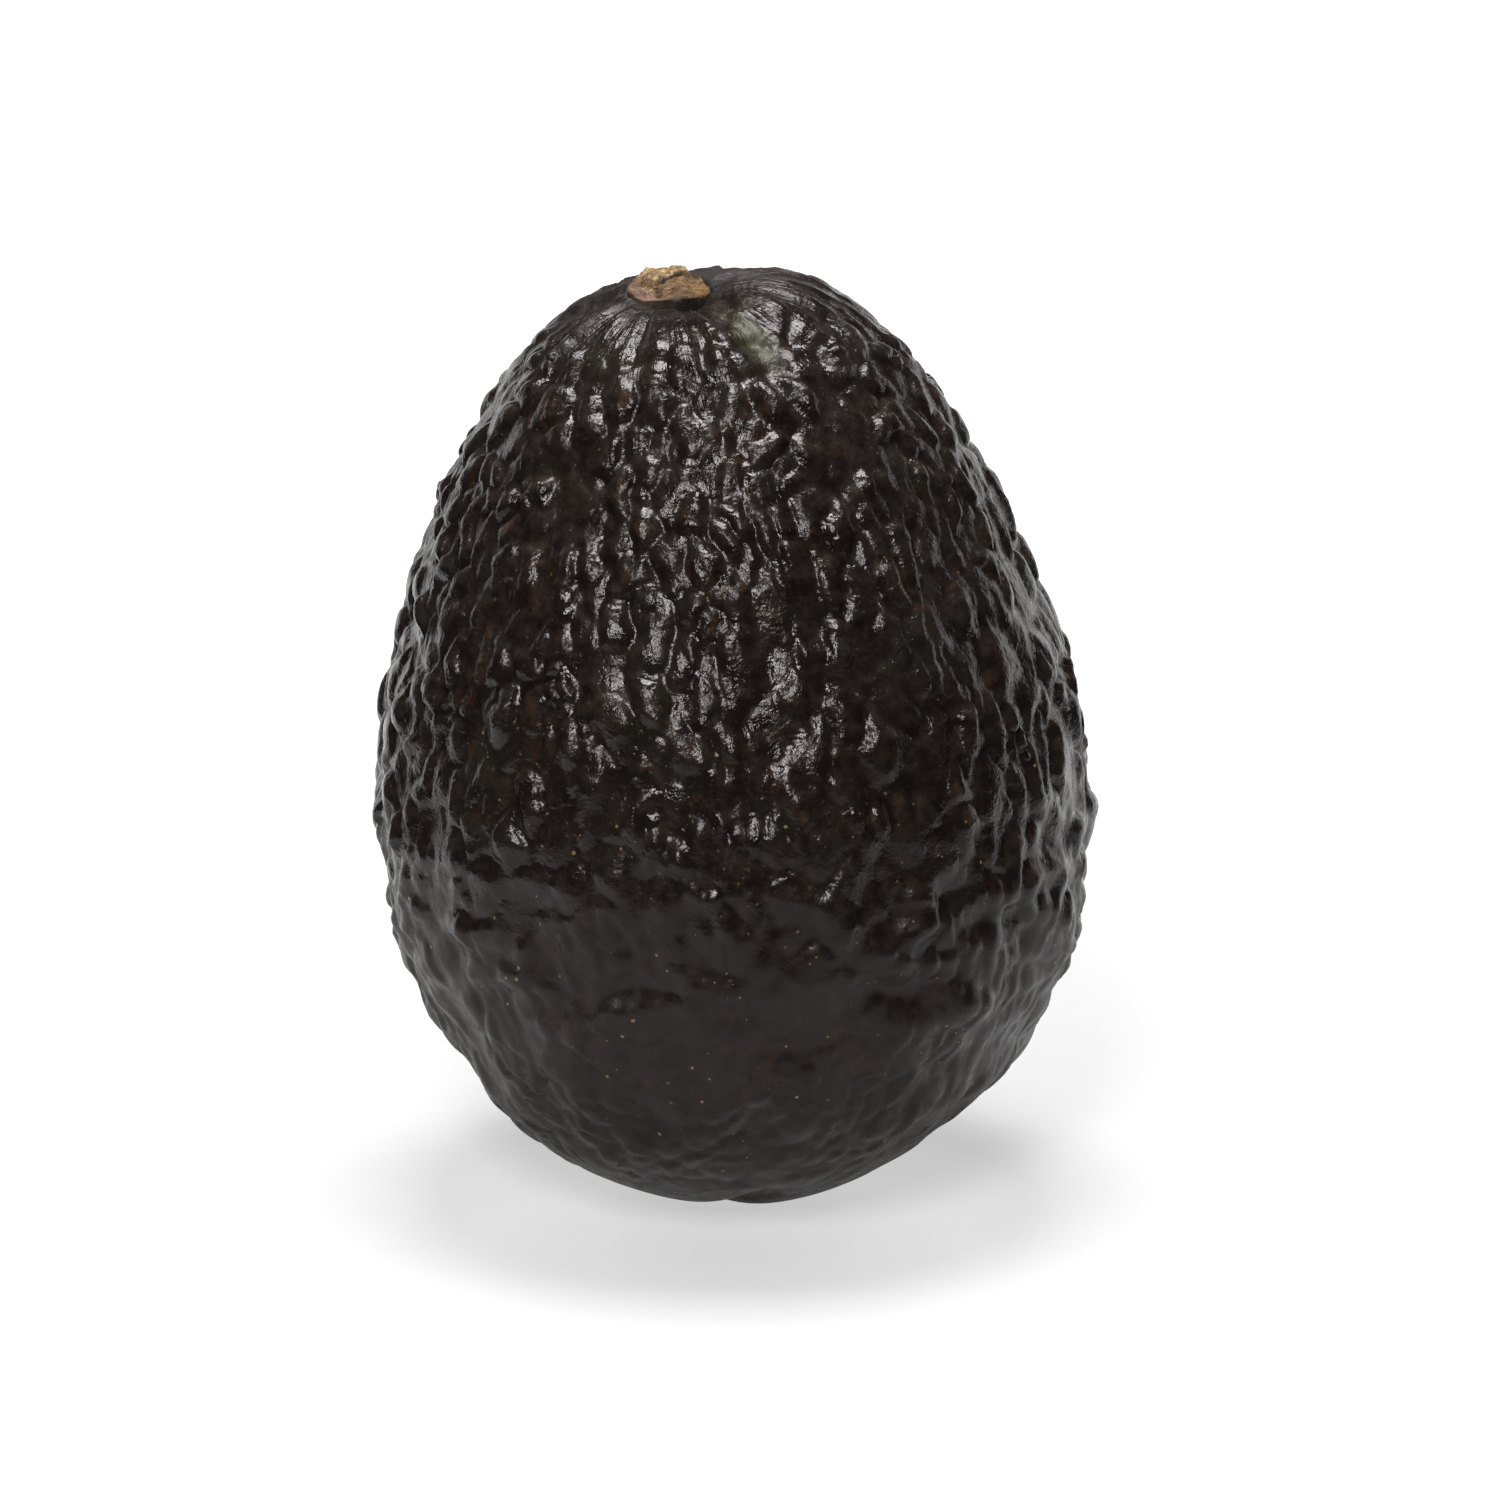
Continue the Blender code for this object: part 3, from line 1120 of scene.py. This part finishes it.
    def columns(self, lines: np.ndarray, from_stem: np.ndarray) -> np.ndarray:
        """Works out the broad swells that run down the fruit, and the ribs between them by the stem.

        Args:
            lines: The skin laid on a cylinder.
            from_stem: Each point's angle from the stem.

        Returns:
            Their height.
        """
        by_stem = 1.0 - smooth_step(from_stem, *self.column_reach)
        height = self.column_height + (self.column_height_by_stem - self.column_height) * by_stem
        swells = long_noise_at(lines, self.column_shortening, self.column_width, Pattern.COLUMNS)
        ribs = long_noise_at(lines, self.rib_shortening, self.rib_width, Pattern.RIBS)
        relief = height * swells + self.rib_height * by_stem * ribs
        return relief * smooth_step(from_stem, *self.bare_round_stem)

    def folds(self, points: np.ndarray, share: np.ndarray) -> np.ndarray:
        """Works out the soft folds that lie across the lower half.

        Args:
            points: Points of the smooth body.
            share: Each point's height, as a share of the fruit's.

        Returns:
            Their height.
        """
        squeezed = points / np.array([self.fold_width, self.fold_width, self.fold_rise])
        strength = smooth_step(share, *self.fold_start) * (1.0 - smooth_step(share, *self.fold_end))
        return self.fold_height * strength * noise_at(squeezed, Pattern.FOLDS)

    def wrinkles(
        self, points: np.ndarray, lines: np.ndarray, from_stem: np.ndarray
    ) -> np.ndarray:
        """Works out the thin ridges that wander down the fruit, and the threads between them.

        Args:
            points: Points of the smooth body.
            lines: The skin laid on a cylinder.
            from_stem: Each point's angle from the stem.

        Returns:
            Their height.
        """
        lines = lines + self.line_sway * sway_at(points / self.line_sway_size, Pattern.LINE_SWAY)
        wide = long_noise_at(lines, self.ridge_shortening, self.ridge_spacing, Pattern.RIDGES)
        thin = long_noise_at(lines, self.thread_shortening, self.thread_spacing, Pattern.THREADS)
        ridges = (1.0 - np.abs(wide) * self.ridge_sharpness).clip(0.0, 1.0)
        threads = (1.0 - np.abs(thin) * self.thread_sharpness).clip(0.0, 1.0)
        by_stem = 1.0 - smooth_step(from_stem, *self.threads_by_stem)
        below = smooth_step(from_stem, *self.threads_below)
        height = self.thread_height + self.thread_height_by_stem * by_stem
        height = height + self.thread_height_below * below
        return self.ridge_height * ridges + height * threads

    def build(self, button: StemButton) -> None:
        """Makes the fine fruit.

        Args:
            button: The stem button that sits in its socket.
        """
        bm = bmesh.new()
        bmesh.ops.create_cube(bm, size=2.0)
        bmesh.ops.subdivide_edges(bm, edges=bm.edges[:], cuts=self.cuts, use_grid_fill=True)
        corners = np.array([vert.co for vert in bm.verts])
        directions = unit(np.tan(corners * math.pi / 4.0))
        points = self.smooth_body(directions)
        out = self.outward(directions)
        from_stem = np.arccos(np.clip(directions[:, 2], -1.0, 1.0))
        share = points[:, 2] / self.length
        lines = self.meridians(directions)
        lower = smooth_step(share, *self.lower_half)
        above_foot = smooth_step(share, *self.bare_at_foot)
        calm = self.calm(directions)
        strength = (
            (self.lower_strength + (1.0 - self.lower_strength) * lower)
            * above_foot
            * smooth_step(from_stem, *self.round_from_stem)
            * calm
        )
        dents = self.dent_height_below + (self.dent_height - self.dent_height_below) * lower
        dents = dents * noise_at(points / self.dent_size, Pattern.DENTS)
        sway = self.sway * sway_at(points / self.sway_size, Pattern.SWAY)
        sway = sway + self.fine_sway * sway_at(points / self.fine_sway_size, Pattern.FINE_SWAY)
        large, _, _ = self.model_pebbles.relief(unit(directions + self.model_sway * sway))
        small, top, draw = self.small_pebbles.relief(unit(directions + sway))
        furrow, green = self.furrow(points)
        pebbles = large * self.model_pebble_height + small * self.small_pebble_height - self.sink
        height = (
            pebbles * strength
            + self.wrinkles(points, lines, from_stem) * above_foot
            + self.swell_height * noise_at(points / self.swell_size, Pattern.SWELLS)
            + self.bulge(points)
            + self.folds(points, share)
            + dents * smooth_step(share, *self.dents_above)
            + self.columns(lines, from_stem) * calm * above_foot
            - self.furrow_depth * furrow
            - button.socket(points - self.stem_point())
        )
        points = points + out * height[:, None] - np.array([0.0, 0.0, self.flat_cut])
        points[:, 2] = points[:, 2].clip(0.0)
        for vert, point in zip(bm.verts, points):
            vert.co = point
        layers = {
            Layer.MERIDIANS: lines,
            Layer.PEBBLE_TOP: top * strength,
            Layer.PEBBLE_DRAW: draw,
            Layer.GREEN: green,
            Layer.DULL: self.dullness(directions, from_stem, green),
        }
        make_piece("avocado_fruit", bm, layers, SkinFinish(), "fruit")


@dataclass
class StemButton:
    """The dry stub of the stalk: a turned plug that isn't quite round, torn and cracked on its face."""

    radius: float = 3.85 * MM
    depth: float = 1.5 * MM
    rise: float = 1.65 * MM
    lean: float = math.radians(3.0)
    foot_rounding: tuple[Span, ...] = ((0.8, 0.0), (0.97, 0.45), (1.0, 1.1))
    side: tuple[Span, ...] = ((1.0, 0.1), (0.99, 0.4), (0.94, 0.75), (0.84, 1.0))
    waves: tuple[tuple[int, float, float], ...] = (
        (1, 0.07, 0.0), (2, 0.045, 0.5), (3, 0.035, -1.1), (7, 0.02, 2.0)
    )
    steps: int = 240
    face_rings: int = 44
    side_rings: int = 8
    face_from: Span = (0.7, 0.98)
    tear_height: float = 0.2 * MM
    tear_size: float = 1.8 * MM
    tear_sharpness: float = 6.0
    chip_height: float = 0.2 * MM
    chip_size: float = 1.5 * MM
    splinter_height: float = 0.22 * MM
    splinter_size: float = 0.6 * MM
    splinter_stretch: tuple[float, float, float] = (1.0, 2.2, 0.8)
    groove_depth: float = 0.035
    groove_size: float = 0.8 * MM
    groove_shortening: float = 0.35
    rim_wear: float = 0.10
    wear_from: Span = (0.1, 0.6)
    wear_size: float = 1.7 * MM
    wear_shortening: float = 0.2
    front_drop: float = 0.75 * MM
    front_reach: Span = (0.0 * MM, 3.4 * MM)
    right_drop: float = 0.6 * MM
    right_reach: Span = (1.5 * MM, 3.9 * MM)
    slab_height: float = 0.34 * MM
    slab_left: float = -2.4 * MM
    slab_right: float = 2.3 * MM
    slab_edge: float = 0.14 * MM
    raggedness: float = 0.7 * MM
    raggedness_by_crack: float = 0.3
    ragged_size: float = 0.9 * MM
    crack_depth: float = 0.35 * MM
    crack_half_width: float = 0.2 * MM
    crack_reach: Span = (-0.1 * MM, 1.2 * MM)
    crack_taper: float = 0.8 * MM
    crack_slope: float = 1.3
    crack_run: float = 1.64  # What the slope takes along the crack, for each unit to the right.
    crack_start: float = -0.5 * MM
    crack_bend: float = 0.2 * MM
    crack_bend_length: float = 0.35 * MM
    crack_step: float = 0.12 * MM
    side_cracks: tuple[Span, Span] = ((-1.9 * MM, -0.5), (2.2 * MM, 0.35))
    side_crack_share: float = 0.3
    # How much painted shade lies in the hollow by the shelf.
    hollow_shade: float = 0.4
    shelf_heading: float = math.radians(228.0)
    shelf_spread: float = math.radians(44.0)
    shelf_from: Span = (2.2 * MM, 2.7 * MM)
    shelf_depth: float = 0.95 * MM
    lip_reach: float = 3.55 * MM
    lip_width: float = 0.6 * MM
    lip_height: float = 0.3 * MM
    # Where the painted shade lies, low on the stub's front right side.
    low_side_shade_heading: float = math.radians(-58.0)
    low_side_shade_spread: float = math.radians(44.0)
    low_side_shade_rise: Span = (0.05, 0.75)
    socket_from: float = 0.9 * MM
    socket_overlap: float = 0.25 * MM
    socket_play: float = 0.2 * MM
    collar: float = 1.15 * MM
    collar_evenness: float = 0.25
    collar_width: float = 1.5 * MM
    collar_heading: float = math.radians(130.0)

    def stretch(self, heading: np.ndarray) -> np.ndarray:
        """Gives the stub's radius at a heading, as a share of its own.

        Args:
            heading: Headings from +X, in radians.

        Returns:
            The share at each.
        """
        return 1.0 + sum(
            share * np.cos(turns * heading + start) for turns, share, start in self.waves
        )

    def socket(self, away: np.ndarray) -> np.ndarray:
        """Works out how far the skin dips under the stub, and rises in a collar round it.

        Args:
            away: Points of the smooth body, from the stub's place.

        Returns:
            The depth at each, which is below zero on the collar.
        """
        heading = np.arctan2(away[:, 1], away[:, 0])
        reach = np.hypot(away[:, 0], away[:, 1])
        from_rim = reach - self.radius * self.stretch(heading)
        inside = 1.0 - smooth_step(from_rim, -self.socket_from, -self.socket_overlap)
        outside = from_rim.clip(0.0) / self.collar_width
        uneven = (1.0 - self.collar_evenness) * np.cos(heading - self.collar_heading)
        collar = self.collar * (self.collar_evenness + uneven)
        return (self.depth - self.socket_play) * inside - collar * np.exp(-(outside**2))

    def profile(self) -> list[tuple[float, float]]:
        """Lists the radius and height of points along the side and over the face."""
        line = [(self.radius * share, -self.depth + rise * MM) for share, rise in self.foot_rounding]
        line += [(self.radius * share, self.rise * height) for share, height in self.side]
        fine = [(0.0, -self.depth)]
        for start, end in zip(line, line[1:]):
            steps = np.linspace(0.0, 1.0, self.side_rings, endpoint=False)
            fine += [tuple(np.add(start, np.subtract(end, start) * t)) for t in steps]
        rim, top = line[-1]
        rings = np.linspace(1.0, 0.0, self.face_rings)
        return fine + [(rim * ring, top) for ring in rings]

    def towards(self, heading: np.ndarray, aim: float, spread: float) -> np.ndarray:
        """Gives 1 at one heading, falling off smoothly round it.

        Args:
            heading: Headings from +X, in radians.
            aim: The heading that gives 1.
            spread: How far off it the share has fallen to about a third.

        Returns:
            The share at each.
        """
        off = np.angle(np.exp(1j * (heading - aim)))
        return np.exp(-((off / spread) ** 2))

    def long_crack(self, x: np.ndarray, y: np.ndarray) -> np.ndarray:
        """Gives the distance behind the long bent crack across the face.

        Args:
            x: Distances to the right of the stub's middle.
            y: Distances behind it.

        Returns:
            The distance at each point.
        """
        bend = self.crack_bend * np.sin(x / self.crack_bend_length)
        return (y - self.crack_slope * x - self.crack_start - bend) / self.crack_run

    def cracks(self, x: np.ndarray, y: np.ndarray) -> np.ndarray:
        """Works out the cracks in the face: a long bent one and a short one on each side of it.

        Args:
            x: Distances to the right of the stub's middle.
            y: Distances behind it.

        Returns:
            Their share of their full depth at each point.
        """
        off_long = self.long_crack(x, y)
        off_left, off_right = (x - start - slope * y for start, slope in self.side_cracks)
        off_side = np.where(off_long < 0.0, off_left, off_right)
        start, end = self.crack_reach
        reach = smooth_step(x, start - self.crack_taper, start)
        reach = reach * (1.0 - smooth_step(x, end, end + self.crack_taper))
        depth = reach * np.exp(-((off_long / self.crack_half_width) ** 2))
        side_depth = self.side_crack_share * np.exp(-((off_side / self.crack_half_width) ** 2))
        return (depth + side_depth).clip(0.0, 1.0)

    def slab(self, x: np.ndarray, y: np.ndarray, ragged: np.ndarray) -> np.ndarray:
        """Works out where the flat, paler slab stands on the back of the face.

        Args:
            x: Distances to the right of the stub's middle.
            y: Distances behind it.
            ragged: How far its edge strays at each point.

        Returns:
            Its share of its full height at each point.
        """
        inside = np.minimum(x - self.slab_left, self.slab_right - x) + ragged
        inside = np.minimum(inside, self.long_crack(x, y) + self.raggedness_by_crack * ragged)
        return smooth_step(inside, -self.slab_edge, self.slab_edge)

    def build(self, placement: Matrix) -> None:
        """Makes the fine stub.

        Args:
            placement: Where it stands.
        """
        bm = bmesh.new()
        verts = [bm.verts.new((reach, 0.0, height)) for reach, height in self.profile()]
        edges = [bm.edges.new(pair) for pair in zip(verts, verts[1:])]
        bmesh.ops.spin(
            bm,
            geom=verts + edges,
            axis=(0, 0, 1),
            cent=(0, 0, 0),
            steps=self.steps,
            angle=2.0 * math.pi,
            use_merge=True,
        )
        bmesh.ops.remove_doubles(bm, verts=bm.verts, dist=1e-6)
        points = np.array([vert.co for vert in bm.verts])
        heading = np.arctan2(points[:, 1], points[:, 0])
        reach = np.hypot(points[:, 0], points[:, 1])
        rise = (points[:, 2] / self.rise).clip(0.0, 1.0)
        face = smooth_step(rise, *self.face_from)
        shelf = self.towards(heading, self.shelf_heading, self.shelf_spread)
        lip = shelf * np.exp(-(((reach - self.lip_reach) / self.lip_width) ** 2))
        hollow = shelf * np.exp(-(((reach - self.shelf_from[1]) / self.lip_width) ** 2)) * face
        # Painted shade, low on the front right side.
        damp = self.towards(heading, self.low_side_shade_heading, self.low_side_shade_spread)
        damp = damp * (1.0 - smooth_step(rise, *self.low_side_shade_rise))
        splinters = noise_at(points * self.splinter_stretch / self.splinter_size, Pattern.SPLINTERS)
        grooves = long_noise_at(points, self.groove_shortening, self.groove_size, Pattern.GROOVES)
        wear = long_noise_at(points, self.wear_shortening, self.wear_size, Pattern.WEAR)
        spread = self.stretch(heading) + self.rim_wear * wear * smooth_step(rise, *self.wear_from)
        spread = spread + self.groove_depth * grooves * (1.0 - face)
        points[:, :2] *= spread[:, None]
        x, y = points[:, 0], points[:, 1]
        cracks = self.cracks(x, y) * face
        step = np.tanh(self.long_crack(x, y) / self.crack_half_width)
        torn = shelf * smooth_step(reach, *self.shelf_from)
        ragged = noise_at(points / self.ragged_size, Pattern.SLAB_EDGE) * self.raggedness
        slab = self.slab(x, y, ragged) * face
        golden = smooth_step(x + ragged, *self.right_reach)
        drop = self.front_drop * smooth_step(-y, *self.front_reach)
        drop = drop + self.right_drop * smooth_step(x, *self.right_reach)
        points[:, 2] += self.slab_height * slab - rise * drop
        tears = np.tanh(noise_at(points / self.tear_size, Pattern.TEARS) * self.tear_sharpness)
        points[:, 2] += face * (
            noise_at(points / self.chip_size, Pattern.CHIPS) * self.chip_height
            + tears * self.tear_height
            + splinters * self.splinter_height
            + step * self.crack_step
            - cracks * self.crack_depth
        )
        points[:, 2] -= rise * (torn * self.shelf_depth - lip * self.lip_height)
        for vert, point in zip(bm.verts, points):
            vert.co = placement @ Vector(point)
        layers = {
            # Painted shade: in the cracks, and less of it in the hollow by the shelf.
            Layer.CRACK: (cracks + self.hollow_shade * hollow).clip(0.0, 1.0),
            Layer.RISE: rise,
            Layer.LIP: lip,
            Layer.DAMP: damp,
            Layer.SLAB: slab,
            Layer.GOLDEN: golden,
        }
        make_piece("avocado_stem_button", bm, layers, StemFinish(), "stem_button")


@dataclass(frozen=True)
class Softbox:
    """A rectangular soft light that points at the fruit. Its angles are in degrees."""

    name: str
    width: float
    height: float
    distance: float
    azimuth: float
    elevation: float
    radiance: float

    def build(self, aim: Vector) -> None:
        """Makes the light, which the camera doesn't see.

        Args:
            aim: Where it points.
        """
        data = bpy.data.lights.new(self.name, "AREA")
        data.shape = "RECTANGLE"
        data.size = self.width
        data.size_y = self.height
        data.energy = self.radiance * self.width * self.height * math.pi
        lamp = add_object(self.name, data)
        azimuth, elevation = math.radians(self.azimuth), math.radians(self.elevation)
        ahead, up = math.cos(elevation), math.sin(elevation)
        way = Vector((math.sin(azimuth) * ahead, -math.cos(azimuth) * ahead, up))
        lamp.location = aim + way * self.distance
        lamp.rotation_mode = "QUATERNION"
        lamp.rotation_quaternion = way.to_track_quat("Z", "Y")
        lamp.visible_camera = False
        LOG.info("light %s at %s", self.name, tuple(round(c, 3) for c in lamp.location))


@dataclass
class Studio:
    """A white table, white surroundings, soft lights, and the camera."""

    aim: tuple[float, float, float] = (2.0 * MM, 0.0, 44.8 * MM)
    elevation: float = math.radians(14.5)
    distance: float = 0.62
    lens: float = 151.3
    sensor: float = 36.0
    near_and_far: Span = (0.01, 20.0)
    middle: tuple[float, float, float] = (0.0, 0.0, 45.0 * MM)
    softboxes: tuple[Softbox, ...] = (
        Softbox(
            "overhead", width=0.32, height=0.32, distance=0.72,
            azimuth=180.0, elevation=84.0, radiance=19.5,
        ),
        Softbox(
            "front", width=0.18, height=0.34, distance=0.9,
            azimuth=-9.0, elevation=35.5, radiance=28.0,
        ),
    )
    table_front: float = 0.18
    table_back: float = 1.2
    table_front_width: float = 0.20
    table_back_width: float = 0.9
    surround: float = 1.25
    front_dark: float = 0.01
    white_behind: Span = (0.40, 0.64)
    white_up_to: Span = (0.45, 0.2)
    white_turn: float = math.radians(-5.0)

    def build(self) -> None:
        """Makes everything round the fruit."""
        self.make_floor()
        self.make_world()
        self.make_camera()
        for softbox in self.softboxes:
            softbox.build(Vector(self.middle))

    def make_floor(self) -> None:
        """Makes the white table, which ends a little way in front of the fruit."""
        bm = bmesh.new()
        bmesh.ops.create_grid(bm, x_segments=1, y_segments=1, size=0.5)
        for vert in bm.verts:
            ahead = vert.co.y < 0.0
            vert.co.x *= self.table_front_width if ahead else self.table_back_width
            vert.co.y = -self.table_front if ahead else self.table_back
        mesh = bpy.data.meshes.new("white_table")
        bm.to_mesh(mesh)
        bm.free()
        mesh.materials.append(TableFinish().make())
        add_object("white_table", mesh)

    def make_world(self) -> None:
        """Makes the surroundings: white to the camera, and in reflections dark ahead."""
        world = bpy.data.worlds.new("studio")
        world.use_nodes = True
        bpy.context.scene.world = world
        board = NodeBoard(world.node_tree)
        sockets = {"Vector": board.place("Generated"), "Angle": -self.white_turn}
        way = board.add("ShaderNodeVectorRotate", {"rotation_type": "Z_AXIS"}, sockets)
        behind = board.axis(way, "Y").share(*self.white_behind)
        low = board.axis(way, "Z").share(*self.white_up_to)
        lit = behind * low * (self.surround - self.front_dark) + self.front_dark
        seen = board.camera_ray()
        sockets = {"Color": WHITE, "Strength": seen + (1.0 - seen) * lit}
        shader = board.add("ShaderNodeBackground", None, sockets)
        board.add("ShaderNodeOutputWorld", None, {"Surface": shader})

    def make_camera(self) -> None:
        """Makes the camera at the photograph's angle."""
        data = bpy.data.cameras.new("camera")
        data.lens = self.lens
        data.sensor_width = self.sensor
        data.clip_start, data.clip_end = self.near_and_far
        camera = add_object("camera", data)
        back = Vector((0.0, -math.cos(self.elevation), math.sin(self.elevation)))
        camera.location = Vector(self.aim) + back * self.distance
        camera.rotation_mode = "QUATERNION"
        camera.rotation_quaternion = back.to_track_quat("Z", "Y")
        bpy.context.scene.camera = camera


@dataclass(frozen=True)
class TableFinish(Finish):
    """A matt white light table. Round the fruit its glow is dimmer: a painted shadow for the camera,
    and painted shade in what the fruit reflects. It fades ahead in reflections.
    """

    name: str = "white_table"
    white: Colour = (0.40, 0.40, 0.40, 1.0)
    faded: Colour = (0.03, 0.03, 0.03, 1.0)
    fades_ahead: Span = (0.02, 0.165)
    fade_slant: float = 0.3
    glow_width: float = 0.3
    # The glow off camera, which the fruit reflects and is lit by, is dim round the fruit. This is
    # painted shade, and it rises to full glow further out.
    off_camera_shade_middle: tuple[float, float, float] = (0.0, 0.0, 0.0)
    off_camera_glow_and_painted_shade: tuple[Span, ...] = ((0.0, 0.2), (0.12, 0.18), (0.2, 0.12), (0.38, 0.5), (0.6, 1.0))
    # The glow that the camera sees dips round a point just in front of the fruit. This is a painted
    # shadow, added to the real shadow from the lights.
    painted_shadow_middle: tuple[float, float, float] = (0.0, -22.0 * MM, 0.0)
    seen_glow_and_painted_shadow: tuple[Span, ...] = (
        (0.0, 0.48), (0.08, 0.58), (0.12, 0.56), (0.2, 0.46), (0.5, 0.6), (1.0, 1.0)
    )

    def shader(self, board: NodeBoard) -> Socket:
        """Builds the table's surface: see the base class."""
        place = board.place()
        seen = board.camera_ray()
        ahead = board.axis(place, "X") * self.fade_slant - board.axis(place, "Y")
        fade = ahead.share(*self.fades_ahead) * (1.0 - seen)
        # The glow off camera with its painted shade. It is black ahead, where the table fades.
        off_camera_glow = board.mix(fade, self.ring(board, place, self.off_camera_shade_middle, self.off_camera_glow_and_painted_shade), BLACK)
        sockets = {
            "Base Color": board.mix(fade, self.white, self.faded),
            "Roughness": 1.0,
            "Specular IOR Level": 0.0,
            # The camera sees the glow with its painted shadow. Reflections and light on the fruit get
            # the glow with its painted shade.
            "Emission Color": board.mix(
                seen, off_camera_glow, self.ring(board, place, self.painted_shadow_middle, self.seen_glow_and_painted_shadow)
            ),
            "Emission Strength": 1.0,
        }
        return board.add("ShaderNodeBsdfPrincipled", None, sockets)

    def ring(
        self, board: NodeBoard, place: Socket, middle: Sequence[float], glow: Sequence[Span]
    ) -> Socket:
        """Makes a glow that changes with the distance from a point on the table.

        Args:
            board: Where the nodes go.
            place: Where the glow is read.
            middle: The point.
            glow: The glow at several distances.

        Returns:
            The glow's colour.
        """
        sockets = {0: place, 1: middle}
        away = board.add("ShaderNodeVectorMath", {"operation": "DISTANCE"}, sockets, "Value")
        stops = [(share, (level, level, level, 1.0)) for share, level in glow]
        return board.add("ShaderNodeValToRGB", {"stops": stops}, {"Fac": away / self.glow_width})


def main() -> None:
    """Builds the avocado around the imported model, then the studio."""
    logging.basicConfig(level=logging.INFO, format="%(name)s: %(message)s")
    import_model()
    bpy.context.scene.view_settings.view_transform = "Standard"
    button = StemButton()
    fruit = Fruit()
    fruit.build(button)
    button.build(fruit.stem_placement(button.lean))
    Studio().build()


if __name__ == "__main__":
    main()
